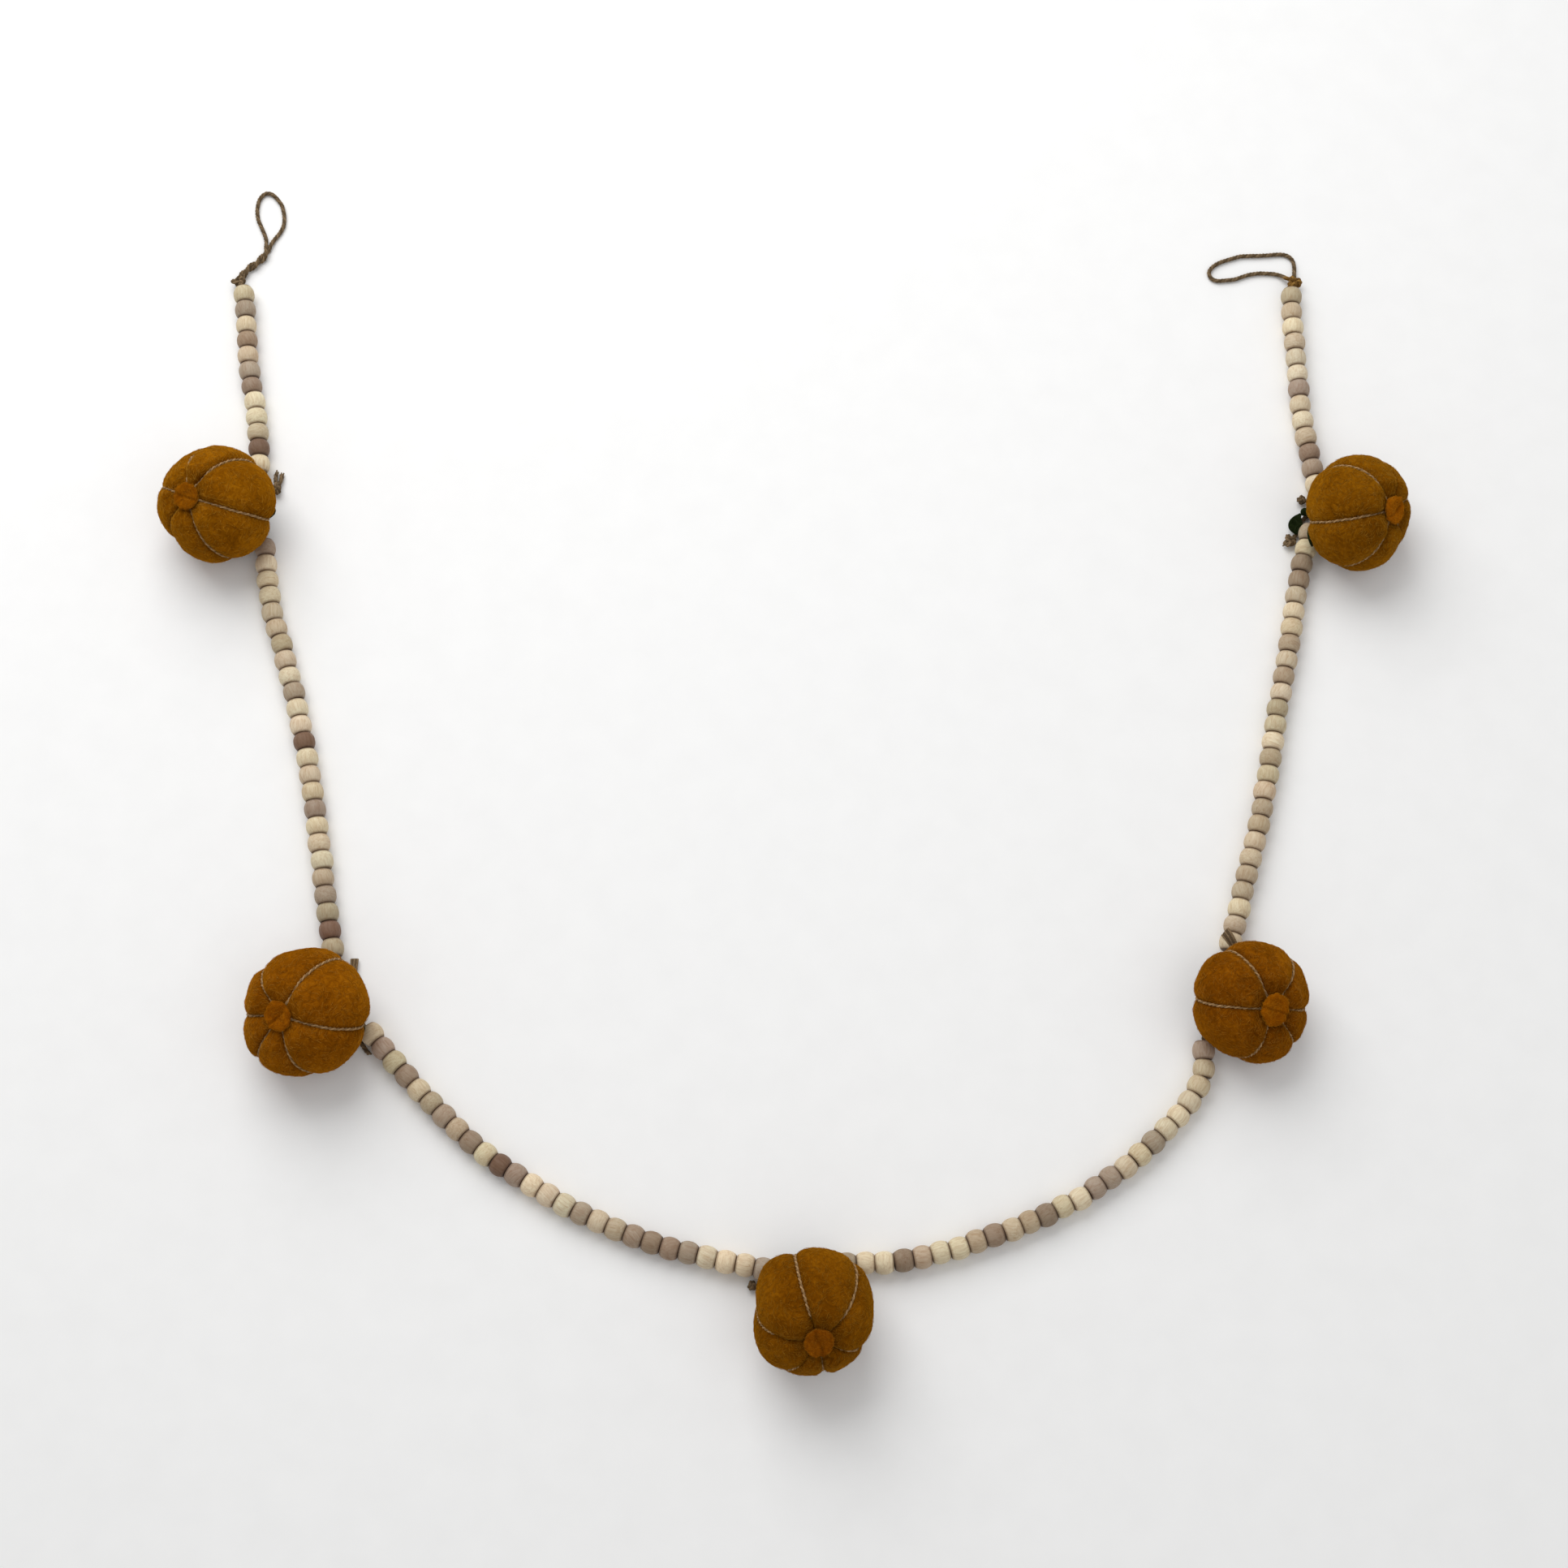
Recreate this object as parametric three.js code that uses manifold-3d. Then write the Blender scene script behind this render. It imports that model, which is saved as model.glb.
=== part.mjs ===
import * as THREE from 'three';
import { mergeVertices } from 'three/addons/utils/BufferGeometryUtils.js';
import Module from 'manifold-3d';

// A garland of wooden beads with five laced wool-felt pumpkins, laid out flat in a wide U with
// a hanging loop of cord at each end. Millimetres, +Z up, resting on z = 0. The layout is drawn
// about the middle of the U and then moved so that the origin is under the middle of its box.

const wasm = await Module();
wasm.setup();

const FOOTPRINT_MIDDLE = { x: 0.5, y: -11 };
const GAP = 0.35;

const BEAD = { radius: 7.2, groove: 4.7, shoulderAt: 0.24, sides: 8 };
const CORD = { radius: 1.45, sides: 8, step: 6.5 };
const LOOP_STEM = { halfWidth: 2.6, halfThickness: 1.6, turnsPerMm: 0.055, step: 2.4 };
const TWINE = { radius: 0.85, sides: 4, lift: 1.64, hubRadius: 2.3 };
const LOBE = {
  depth: 3.8, fullAt: 14, dimple: 5, dimpleWidth: 0.42, bulge: 0.9, sharp: 1.4, columns: 4, rows: 10,
};
const BUTTON = { radius: 9.2, thickness: 3.2, hollow: 0.7, sides: 12 };
const STEM = { base: 2.8, tip: 2.1, sides: 8, steps: 5, reach: 0.4 };
const LEAF = { thickness: 1.5, tipShare: 0.16, steps: 6, from: 0.14, lift: 0.65 };
const KNOT = { columns: 8, rows: 5, ridge: 0.16, strands: 3, turn: 4 };
const CORD_LEAD = 1.6;
const FLAT_SPOT = 0.7;
const ARC_STEPS = 400;

const COLOURS = {
  wood: 0xb9a88c, wool: 0x9a5f14, button: 0xc8761f, green: 0x24331c, cord: 0x7a6044, twine: 0x8d7763,
};

// The strands, in their order along the cord: where the beads start on the route, how many there are,
// their spacing, and the route of the cord's middle seen from above.
const STRANDS = [
  { start: 1.8, beads: 12, pitch: 11.81,
    route: [[-376.3, 361], [-372.3, 335], [-368.4, 301], [-362.6, 272], [-357.9, 242], [-355.4, 205]] },
  { start: 2.5, beads: 25, pitch: 11.8,
    route: [[-350, 172], [-342.7, 125], [-326.3, 70], [-312.4, 15], [-302, -38], [-293.2, -90],
      [-283.8, -140]] },
  { start: 1.4, beads: 26, pitch: 11.87,
    route: [[-266.3, -163.3], [-229.2, -205], [-191, -241.2], [-154.1, -266.2], [-117.1, -286.2],
      [-80.1, -300.4], [-44.1, -309.7], [0, -318.7]] },
  { start: 10.7, beads: 25, pitch: 11.73,
    route: [[22, -313.6], [81, -309.7], [117.2, -299.7], [153.9, -286.7], [190.9, -268], [228.5, -239.6],
      [262.1, -200.3], [266, -171]] },
  { start: 3.6, beads: 26, pitch: 11.66,
    route: [[283.7, -118], [296.8, -72], [308.1, -32], [317.2, 8], [325.2, 48], [334.3, 89], [342.6, 131],
      [347.4, 153], [351, 166], [354.6, 178.5], [357.4, 190]] },
  { start: 9.4, beads: 13, pitch: 11.86,
    route: [[362.4, 195], [358.2, 228], [354.2, 257], [353, 286], [352.2, 316], [351.7, 346],
      [353.9, 375]] },
];

// The pumpkins: the middle seen from above, how far the blossom end leans from straight up and towards
// which compass angle, the half width and half height, the stem's end, which lies on the ground where it
// has no height, and the angles of the six laced grooves.
const PUMPKINS = [
  { x: -377.9, y: 184.3, tilt: 27.6, lean: 208, radius: 39.0, height: 35.2, stemEnd: [-360, 197],
    laces: [46, 89, 156, 220, 279, 339] },
  { x: -298.6, y: -160.2, tilt: 29.4, lean: 214.4, radius: 40.2, height: 33.4, stemEnd: [-277.7, -149],
    laces: [56, 127, 178, 226, 275, 342] },
  { x: 17.6, y: -344.6, tilt: 39.8, lean: 278.6, radius: 37.2, height: 36.8, stemEnd: [13.6, -313.8],
    laces: [45, 109, 178, 240, 280, 332] },
  { x: 292.8, y: -152.7, tilt: 33.5, lean: 317, radius: 38.4, height: 28.4, stemEnd: [273.5, -137.6],
    laces: [-3, 52, 118, 181, 259, 316] },
  { x: 381.5, y: 178.0, tilt: 45.1, lean: 341.4, radius: 38.3, height: 31.0, stemEnd: [351.2, 191.4, 5.5],
    laces: [30, 81, 129, 200, 261, 321] },
];

// The leaves on a pumpkin's underside: which pumpkin, the heading from its stem, how far round the ball
// the tip reaches, and the width.
const LEAVES = [
  { pumpkin: 1, heading: 350, reach: 0.78, width: 13 },
  { pumpkin: 1, heading: 65, reach: 0.74, width: 14 },
  { pumpkin: 2, heading: 330, reach: 0.74, width: 14 },
  { pumpkin: 2, heading: 100, reach: 0.7, width: 14 },
  { pumpkin: 3, heading: 40, reach: 0.74, width: 14 },
  { pumpkin: 3, heading: 140, reach: 0.74, width: 14 },
  { pumpkin: 4, heading: 100, reach: 0.78, width: 14 },
  { pumpkin: 4, heading: 200, reach: 0.74, width: 14 },
  { pumpkin: 5, heading: 232, reach: 0.8, width: 12 },
];

// The leaf that stands out from under the fifth pumpkin: the middle of the sheet and its width.
const LOOSE_LEAF = {
  midline: [[348, 188.6, 5.6], [345.3, 185.2, 5.2], [344.2, 181.2, 4.9], [345.1, 176, 4.6]],
  width: 6.6,
};

// The stretch of cord past each pumpkin, from strand to strand: the points that it passes near the stem,
// the middle and half sizes of its knots, and its loose ends, each from where it starts.
const TIES = [
  { via: [[-347, 209, 3.8], [-351, 200, 2], [-354, 190.5, 1.7], [-352.2, 182, 2.6]],
    knots: [{ at: [-344.5, 209, 4], size: [3.6, 4.4, 3.4] }],
    ends: [[[-344.5, 209, 4], [-345.6, 216, 3], [-345.6, 222, 2]],
      [[-344.5, 209, 4], [-342.5, 214, 3], [-341.4, 220.6, 1.8]]] },
  { via: [[-276, -132, 3], [-275.6, -148, 1.8]],
    knots: [{ at: [-275, -131, 3.6], size: [3.4, 3.8, 3.2] }],
    ends: [[[-275, -131, 3.6], [-275.4, -125, 3], [-275.5, -118.5, 1.8]],
      [[-275.6, -148, 1.8], [-274, -161, 1.5], [-270, -170.6, 1.5], [-265.2, -178, 1.5],
        [-260, -183, 1.5]]] },
  { via: [[3, -316, 4], [13, -311, 1.8], [23, -311, 3]],
    knots: [{ at: [2.5, -320, 3.4], size: [3.4, 3.6, 3] }, { at: [-19.6, -325.6, 3.2], size: [3, 3.2, 3] }],
    ends: [[[2.5, -320, 3.4], [-6, -327, 2], [-19.6, -325.6, 3.2]]] },
  { via: [[268.6, -156, 2], [270.5, -140, 1.7], [273.4, -129, 2.6]],
    knots: [{ at: [275, -125, 3.6], size: [3.2, 3.6, 3] }],
    ends: [[[275, -125, 3.6], [276.5, -117, 9.1], [279.5, -109.8, 14.1], [283.6, -103.6, 17.1]]] },
  { via: [[359, 189, 4], [361, 193, 2.2], [362.2, 198, 3.4]],
    knots: [{ at: [341, 170.6, 4], size: [3.8, 4.4, 3.6] }, { at: [350.6, 200.7, 3.8], size: [2.9, 3, 2.8] }],
    ends: [[[341, 170.6, 4], [346.4, 176.8, 1.5], [348.2, 182, 1.5], [351, 187, 1.5], [361, 193, 2.2]],
      [[341, 170.6, 4], [337, 168.4, 2.6]],
      [[362.2, 198, 3.4], [356.4, 200.2, 2.6], [350.6, 200.7, 3.8]]] },
];

// The hanging loops: the knot by the last bead, the route of the cord from its knot and back, and for the
// left one the twisted stem between knot and loop.
const LOOP_LEFT = {
  knot: { at: [-379.2, 364.2, 5], size: [5, 3.5, 4.4] },
  stem: [[-379.2, 364.6, 4.8], [-378.4, 370, 3], [-374.9, 375.6, 2.75], [-369.3, 380.3, 2.75],
    [-364.4, 385.5, 2.75], [-361.9, 391.5, 2.6], [-361.4, 397, 2.2]],
  loop: [[-361.6, 395, 2.2], [-363.4, 400, 1.7], [-366.1, 407.1, 1.5], [-369.8, 415.6, 1.5],
    [-371, 422.2, 1.5], [-370.6, 428.8, 1.5], [-369, 433.4, 1.5], [-366, 436.3, 1.5], [-362, 436.2, 1.5],
    [-357.7, 432.4, 1.5], [-353.9, 426.8, 1.5], [-352.1, 420.2, 1.5], [-351.5, 415, 1.5],
    [-352.3, 409.1, 1.5], [-354.9, 403.8, 1.5], [-358.1, 399, 1.7], [-361.2, 395, 2.2]],
};
const LOOP_RIGHT = {
  knot: { at: [353.9, 363.2, 5], size: [5.2, 4.5, 4.4] },
  loop: [[355.4, 366, 5], [356.2, 373, 2.2], [356.7, 379, 1.5], [355.6, 383.9, 1.5], [352.7, 387, 1.5],
    [347.9, 388.3, 1.5], [340.9, 387.9, 1.5], [334.3, 387.4, 1.5], [326.7, 387.2, 1.5], [319, 386.7, 1.5],
    [311.9, 384.5, 1.5], [305.2, 382.1, 1.5], [299.6, 378.5, 1.5], [296.9, 374.2, 1.5], [298.1, 370, 1.5],
    [301.8, 367.8, 1.5], [307.2, 368, 1.5], [314.9, 369, 1.5], [322.6, 371.8, 1.5], [330.2, 373.4, 1.5],
    [337.8, 373.4, 1.5], [344.3, 372.4, 1.8], [350, 368.6, 4]],
};

const radians = THREE.MathUtils.degToRad;
const garland = new THREE.Group();
garland.position.set(-FOOTPRINT_MIDDLE.x, -FOOTPRINT_MIDDLE.y, 0);

function addMesh(parent, name, geometry, colour) {
  const material = new THREE.MeshStandardMaterial({ color: colour, roughness: 0.9, metalness: 0 });
  const mesh = new THREE.Mesh(geometry, material);
  mesh.name = name;
  parent.add(mesh);
  return mesh;
}

function solidOf(geometry) {
  const bare = geometry.clone();
  bare.deleteAttribute('normal');
  bare.deleteAttribute('uv');
  const merged = mergeVertices(bare, 1e-3);
  const vertProperties = merged.attributes.position.array;
  const triVerts = new Uint32Array(merged.index.array);
  return new wasm.Manifold(new wasm.Mesh({ numProp: 3, vertProperties, triVerts }));
}

function geometryOf(solid) {
  const mesh = solid.getMesh();
  const geometry = new THREE.BufferGeometry();
  geometry.setAttribute('position', new THREE.BufferAttribute(mesh.vertProperties, 3));
  geometry.setIndex(new THREE.BufferAttribute(mesh.triVerts, 1));
  geometry.computeVertexNormals();
  return geometry;
}

function fuse(geometries) {
  const solids = geometries.map(solidOf);
  return geometryOf(solids.reduce((whole, solid) => whole.add(solid)));
}

function curveThrough(points) {
  const places = points.map(([x, y, z]) => new THREE.Vector3(x, y, z));
  const curve = new THREE.CatmullRomCurve3(places, false, 'centripetal');
  curve.arcLengthDivisions = ARC_STEPS;
  return curve;
}

// Lays a geometry that stands along Y on a curve: Y becomes the distance along it, X the sideways
// and Z the upward direction. The section may turn as it goes.
function layAlong(geometry, curve, start = 0, turnsPerMm = 0) {
  const length = curve.getLength();
  const position = geometry.attributes.position;
  const place = new THREE.Vector3();
  for (let i = 0; i < position.count; i += 1) {
    const along = start + position.getY(i);
    const share = THREE.MathUtils.clamp(along / length, 0, 1);
    const tangent = curve.getTangentAt(share);
    const side = new THREE.Vector3(tangent.y, -tangent.x, 0).normalize();
    const up = new THREE.Vector3().crossVectors(side, tangent);
    const angle = 2 * Math.PI * turnsPerMm * along;
    const x = position.getX(i) * Math.cos(angle) - position.getZ(i) * Math.sin(angle);
    const z = position.getX(i) * Math.sin(angle) + position.getZ(i) * Math.cos(angle);
    place.copy(curve.getPointAt(share)).addScaledVector(side, x).addScaledVector(up, z);
    position.setXYZ(i, place.x, place.y, place.z);
  }
  geometry.computeVertexNormals();
  return geometry;
}

// One strand: drum-shaped beads fused where they touch, with a flat facet of each on the ground.
function beadStrand({ beads, start, pitch, route }) {
  const acrossCorners = 1 / Math.cos(Math.PI / BEAD.sides);
  const profile = [new THREE.Vector2(0, 0), new THREE.Vector2(BEAD.groove * acrossCorners, 0)];
  for (let i = 0; i < beads; i += 1) {
    const foot = i * pitch;
    const wide = BEAD.radius * acrossCorners;
    profile.push(new THREE.Vector2(wide, foot + pitch * BEAD.shoulderAt));
    profile.push(new THREE.Vector2(wide, foot + pitch * (1 - BEAD.shoulderAt)));
    profile.push(new THREE.Vector2(BEAD.groove * acrossCorners, foot + pitch));
  }
  profile.push(new THREE.Vector2(0, beads * pitch));
  const straight = new THREE.LatheGeometry(profile, BEAD.sides, Math.PI / BEAD.sides);
  return layAlong(straight, curveThrough(route.map(([x, y]) => [x, y, BEAD.radius])), start);
}

// A point of a pumpkin about its own axis, for an angle from the blossom end, a heading, and a groove depth.
function pumpkinPoint(pumpkin, theta, heading, groove, lift = 0) {
  const sink = (angle) => LOBE.dimple * Math.exp(-((angle / LOBE.dimpleWidth) ** 2));
  const wide = pumpkin.radius * Math.sin(theta) ** LOBE.bulge;
  const tall = pumpkin.height * Math.cos(theta) - sink(theta) + sink(Math.PI - theta);
  const inward = LOBE.depth * groove * Math.min(wide / LOBE.fullAt, 1) - lift;
  const out = Math.max(wide - inward * Math.sin(theta), 0);
  return new THREE.Vector3(out * Math.cos(heading), out * Math.sin(heading), tall - inward * Math.cos(theta));
}

function pumpkinPlacement(pumpkin) {
  const tilt = radians(pumpkin.tilt);
  const lean = radians(pumpkin.lean);
  const sideways = Math.sin(tilt);
  const axis = new THREE.Vector3(sideways * Math.cos(lean), sideways * Math.sin(lean), Math.cos(tilt));
  return new THREE.Quaternion().setFromUnitVectors(new THREE.Vector3(0, 0, 1), axis);
}

// The stuffed felt ball, drawn in to six lobes along its laced grooves.
function lobedBall(pumpkin) {
  const { laces } = pumpkin;
  const columns = laces.length * LOBE.columns;
  const geometry = new THREE.SphereGeometry(1, columns, LOBE.rows);
  const position = geometry.attributes.position;
  for (let i = 0; i < position.count; i += 1) {
    const column = i % (columns + 1);
    const row = Math.floor(i / (columns + 1));
    const lobe = Math.floor(column / LOBE.columns) % laces.length;
    const share = (column % LOBE.columns) / LOBE.columns;
    const next = lobe + 1 < laces.length ? laces[lobe + 1] : laces[0] + 360;
    const heading = radians(laces[lobe] + (next - laces[lobe]) * share);
    const groove = (1 - Math.sin(Math.PI * share)) ** LOBE.sharp;
    const point = pumpkinPoint(pumpkin, Math.PI * row / LOBE.rows, heading, groove);
    position.setXYZ(i, point.x, point.y, point.z);
  }
  return geometry;
}

function restingHeight(geometry, turn) {
  const turned = geometry.clone().applyQuaternion(turn);
  turned.computeBoundingBox();
  return -turned.boundingBox.min.z - FLAT_SPOT;
}

// Cuts away what would stand below the ground, with a block whose top is the ground.
function flatSpotCut(geometry, placement) {
  const size = 200;
  const ground = new THREE.BoxGeometry(size, size, size).translate(0, 0, -size / 2);
  ground.translate(placement.elements[12], placement.elements[13], 0);
  ground.applyMatrix4(placement.clone().invert());
  return geometryOf(solidOf(geometry).subtract(solidOf(ground)));
}

// The twine pulled round a pumpkin in its six grooves, crossing under the button and at the stem end.
// Each run is a four-sided bar whose rows stand over the rows of the ball, so its gap stays even.
function lacing(pumpkin) {
  const pieces = pumpkin.laces.map((lace) => {
    const bar = new THREE.CylinderGeometry(TWINE.radius, TWINE.radius, LOBE.rows, TWINE.sides, LOBE.rows);
    const position = bar.attributes.position;
    const heading = radians(lace);
    const side = new THREE.Vector3(-Math.sin(heading), Math.cos(heading), 0);
    for (let i = 0; i < position.count; i += 1) {
      const theta = Math.PI * (LOBE.rows / 2 - position.getY(i)) / LOBE.rows;
      const out = new THREE.Vector3().setFromSphericalCoords(1, theta, 0);
      out.set(out.z * Math.cos(heading), out.z * Math.sin(heading), out.y);
      const point = pumpkinPoint(pumpkin, theta, heading, 1, TWINE.lift);
      point.addScaledVector(side, position.getX(i)).addScaledVector(out, position.getZ(i));
      position.setXYZ(i, point.x, point.y, point.z);
    }
    return bar;
  });
  for (const theta of [0, Math.PI]) {
    const hub = new THREE.CylinderGeometry(TWINE.hubRadius, TWINE.hubRadius, 2 * TWINE.radius, STEM.sides);
    hub.rotateX(Math.PI / 2).translate(0, 0, pumpkinPoint(pumpkin, theta, 0, 1, TWINE.lift).z);
    pieces.push(hub);
  }
  return fuse(pieces);
}

// The round felt button on the blossom end: soft edges and a slightly hollow face.
function blossomButton() {
  const { radius, thickness, hollow, sides } = BUTTON;
  const outline = [[0, 0], [radius * 0.86, 0], [radius, thickness * 0.4], [radius * 0.9, thickness * 0.85],
    [radius * 0.6, thickness], [0, thickness - hollow]];
  const profile = outline.map(([r, z]) => new THREE.Vector2(r, z));
  return new THREE.LatheGeometry(profile, sides).rotateX(Math.PI / 2);
}

// A felt leaf, pointed at both ends, that follows the ball from beside the stem outwards.
function leaf(pumpkin, { heading, reach, width }) {
  const sheet = new THREE.BoxGeometry(1, 1, 1, LEAF.steps, 2, 1);
  const position = sheet.attributes.position;
  for (let i = 0; i < position.count; i += 1) {
    const along = position.getX(i) + 0.5;
    const fromStem = LEAF.from + (reach - LEAF.from) * along;
    const theta = Math.PI - fromStem;
    const ring = pumpkin.radius * Math.sin(theta) ** LOBE.bulge;
    const swell = LEAF.tipShare + (1 - LEAF.tipShare) * Math.sin(Math.PI * along ** 0.9);
    const across = -position.getY(i) * width * swell / ring;
    const overTwine = (TWINE.lift + TWINE.radius) * (1 - Math.min(ring / LOBE.fullAt, 1));
    const lift = LEAF.lift + overTwine + LEAF.thickness * (0.5 + position.getZ(i));
    const point = pumpkinPoint(pumpkin, theta, radians(heading) + across, 0, lift);
    position.setXYZ(i, point.x, point.y, point.z);
  }
  return sheet;
}

// The leaf that stands free of its ball, laid on its own midline.
function looseLeaf({ midline, width }) {
  const path = curveThrough(midline);
  const length = path.getLength();
  const sheet = new THREE.BoxGeometry(1, 1, 1, 2, LEAF.steps, 1).translate(0, 0.5, 0);
  const position = sheet.attributes.position;
  for (let i = 0; i < position.count; i += 1) {
    const along = position.getY(i);
    const swell = LEAF.tipShare + (1 - LEAF.tipShare) * Math.sin(Math.PI * along ** 1.3);
    position.setXYZ(i, position.getX(i) * width * swell, along * length, position.getZ(i) * LEAF.thickness);
  }
  return layAlong(sheet, path);
}

// The soft felt stem: it leaves the ball along its axis and is bent over by the ground.
function stem(pumpkin, placement) {
  const pole = pumpkinPoint(pumpkin, Math.PI, 0, 1, TWINE.lift + TWINE.radius + GAP).applyMatrix4(placement);
  const down = new THREE.Vector3(0, 0, -1).transformDirection(placement);
  const end = new THREE.Vector3(...pumpkin.stemEnd, STEM.base);
  const bend = pole.clone().addScaledVector(down, (pole.z - end.z) / -down.z * STEM.reach);
  const nub = new THREE.CylinderGeometry(STEM.tip, STEM.base, STEM.steps, STEM.sides, STEM.steps);
  const path = new THREE.QuadraticBezierCurve3(pole, bend, end);
  nub.translate(0, STEM.steps / 2, 0).scale(1, path.getLength() / STEM.steps, 1);
  return layAlong(nub, path);
}

function cordAlong(points) {
  const section = new THREE.Shape();
  section.absarc(0, 0, CORD.radius, 0, 2 * Math.PI);
  const extrudePath = curveThrough(points);
  const steps = Math.ceil(extrudePath.getLength() / CORD.step);
  const curveSegments = CORD.sides / 2;
  return new THREE.ExtrudeGeometry(section, { steps, extrudePath, curveSegments, bevelEnabled: false });
}

// An overhand knot pulled tight: a lump with ridges that run round it at a slant.
function knotLump({ at, size }) {
  const lump = new THREE.SphereGeometry(1, KNOT.columns, KNOT.rows);
  const position = lump.attributes.position;
  for (let i = 0; i < position.count; i += 1) {
    const point = new THREE.Vector3().fromBufferAttribute(position, i);
    const slant = KNOT.strands * Math.atan2(point.z, point.x) + KNOT.turn * point.y;
    const swell = 1 - KNOT.ridge * Math.sin(slant) ** 2 * Math.hypot(point.x, point.z);
    position.setXYZ(i, point.x * swell, point.y, point.z * swell);
  }
  return lump.scale(...size).translate(...at);
}

function strandEnd({ beads, start, pitch, route }, atEnd, distance) {
  const curve = curveThrough(route.map(([x, y]) => [x, y, BEAD.radius]));
  const along = atEnd ? start + beads * pitch : start;
  const share = THREE.MathUtils.clamp(along / curve.getLength(), 0, 1);
  const outward = curve.getTangentAt(share).multiplyScalar(atEnd ? 1 : -1);
  return curve.getPointAt(share).addScaledVector(outward, distance).toArray();
}

function tie({ via, knots, ends }, before, after) {
  const lead = [strandEnd(before, true, GAP), strandEnd(before, true, CORD_LEAD)];
  const tail = [strandEnd(after, false, CORD_LEAD), strandEnd(after, false, GAP)];
  const cords = [[...lead, ...via, ...tail], ...ends];
  return fuse([...cords.map(cordAlong), ...knots.map(knotLump)]);
}

function twistedStem(points) {
  const path = curveThrough(points);
  const rows = Math.ceil(path.getLength() / LOOP_STEM.step);
  const bar = new THREE.CylinderGeometry(1, 1, 1, CORD.sides, rows).translate(0, 0.5, 0);
  bar.scale(LOOP_STEM.halfWidth, path.getLength(), LOOP_STEM.halfThickness);
  return layAlong(bar, path, 0, LOOP_STEM.turnsPerMm);
}

STRANDS.forEach((strand, index) => {
  addMesh(garland, `bead_strand_${index + 1}`, beadStrand(strand), COLOURS.wood);
});

PUMPKINS.forEach((pumpkin, index) => {
  const number = index + 1;
  const group = new THREE.Group();
  const ball = lobedBall(pumpkin);
  group.quaternion.copy(pumpkinPlacement(pumpkin));
  group.position.set(pumpkin.x, pumpkin.y, restingHeight(ball, group.quaternion));
  group.updateMatrix();
  garland.add(group);
  addMesh(group, `pumpkin_${number}`, flatSpotCut(ball, group.matrix), COLOURS.wool);
  addMesh(group, `lacing_${number}`, flatSpotCut(lacing(pumpkin), group.matrix), COLOURS.twine);
  const button = addMesh(group, `blossom_button_${number}`, blossomButton(), COLOURS.button);
  button.position.z = pumpkinPoint(pumpkin, 0, 0, 1, TWINE.lift + TWINE.radius + GAP).z;
  LEAVES.filter((row) => row.pumpkin === number).forEach((row, place) => {
    addMesh(group, `leaf_${number}${'ab'[place]}`, leaf(pumpkin, row), COLOURS.green);
  });
  addMesh(garland, `stem_${number}`, stem(pumpkin, group.matrix), COLOURS.green);
});
addMesh(garland, 'leaf_5b', looseLeaf(LOOSE_LEAF), COLOURS.green);

TIES.forEach((row, index) => {
  addMesh(garland, `tie_${index + 1}`, tie(row, STRANDS[index], STRANDS[index + 1]), COLOURS.cord);
});

const left = fuse([knotLump(LOOP_LEFT.knot), twistedStem(LOOP_LEFT.stem), cordAlong(LOOP_LEFT.loop)]);
addMesh(garland, 'hanging_loop_left', left, COLOURS.cord);
const right = fuse([knotLump(LOOP_RIGHT.knot), cordAlong(LOOP_RIGHT.loop)]);
addMesh(garland, 'hanging_loop_right', right, COLOURS.cord);

export default garland;
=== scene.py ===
"""The looks of a garland of wooden beads and laced felt pumpkins, laid out in a wide U."""

import math

import bpy
import numpy as np
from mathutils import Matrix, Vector, noise


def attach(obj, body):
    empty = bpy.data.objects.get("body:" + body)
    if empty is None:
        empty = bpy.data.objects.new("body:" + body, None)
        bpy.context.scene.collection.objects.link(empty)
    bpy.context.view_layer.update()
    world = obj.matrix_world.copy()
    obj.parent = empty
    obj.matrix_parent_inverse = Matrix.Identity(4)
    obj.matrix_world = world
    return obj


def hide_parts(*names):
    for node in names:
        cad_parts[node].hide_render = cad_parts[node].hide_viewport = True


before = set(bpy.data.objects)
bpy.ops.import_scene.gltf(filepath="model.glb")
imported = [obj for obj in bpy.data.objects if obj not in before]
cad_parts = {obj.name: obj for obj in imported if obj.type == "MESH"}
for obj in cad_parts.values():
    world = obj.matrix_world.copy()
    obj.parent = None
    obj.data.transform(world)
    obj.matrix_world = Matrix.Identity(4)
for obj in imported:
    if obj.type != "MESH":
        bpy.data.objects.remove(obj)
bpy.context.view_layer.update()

# Shapes are worked out in millimetres in the garland's own layout, drawn about the middle of the U,
# and moved into the frame, in metres, when a mesh is built.
MM = 0.001
FRAME_ORIGIN = np.array([0.5, -11.0, 0.0])

# The camera, at the photograph's angle: pixels of the 1932 x 1932 picture, degrees and millimetres.
IMAGE = 1932
FOCAL_PIXELS = 3200
SENSOR = 36.0
ELEVATION = 72.5
DISTANCE = 1703.65

# Beads: the hole, how wide the flat end is, how far the drum falls to its ends, and the bends between.
BEAD = {"radius": 7.3, "hole": 1.9, "flat": 0.62, "drum": 0.3, "power": 2.3, "corner": 0.11, "sides": 28}
BEAD_HEIGHT = 7.2
JOINT_PLAY = 0.33

# Cord and twine: lay is the length of one turn of the plies. The cord goes a little into each end bead. The
# twine lies at its lift above the felt, at sunk where it is buried, and comes up again past the angle under.
CORD = {"radius": 1.46, "plies": 3, "lay": 7.0, "into_bead": -4, "at_bead": 0.4, "past_bead": 1.6}
TWINE = {"radius": 0.95, "plies": 2, "lay": 5.6, "lift": 0.55, "sunk": -1.7, "hub_lift": 2.84, "under": 1.9,
         "steps": 150}

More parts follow.
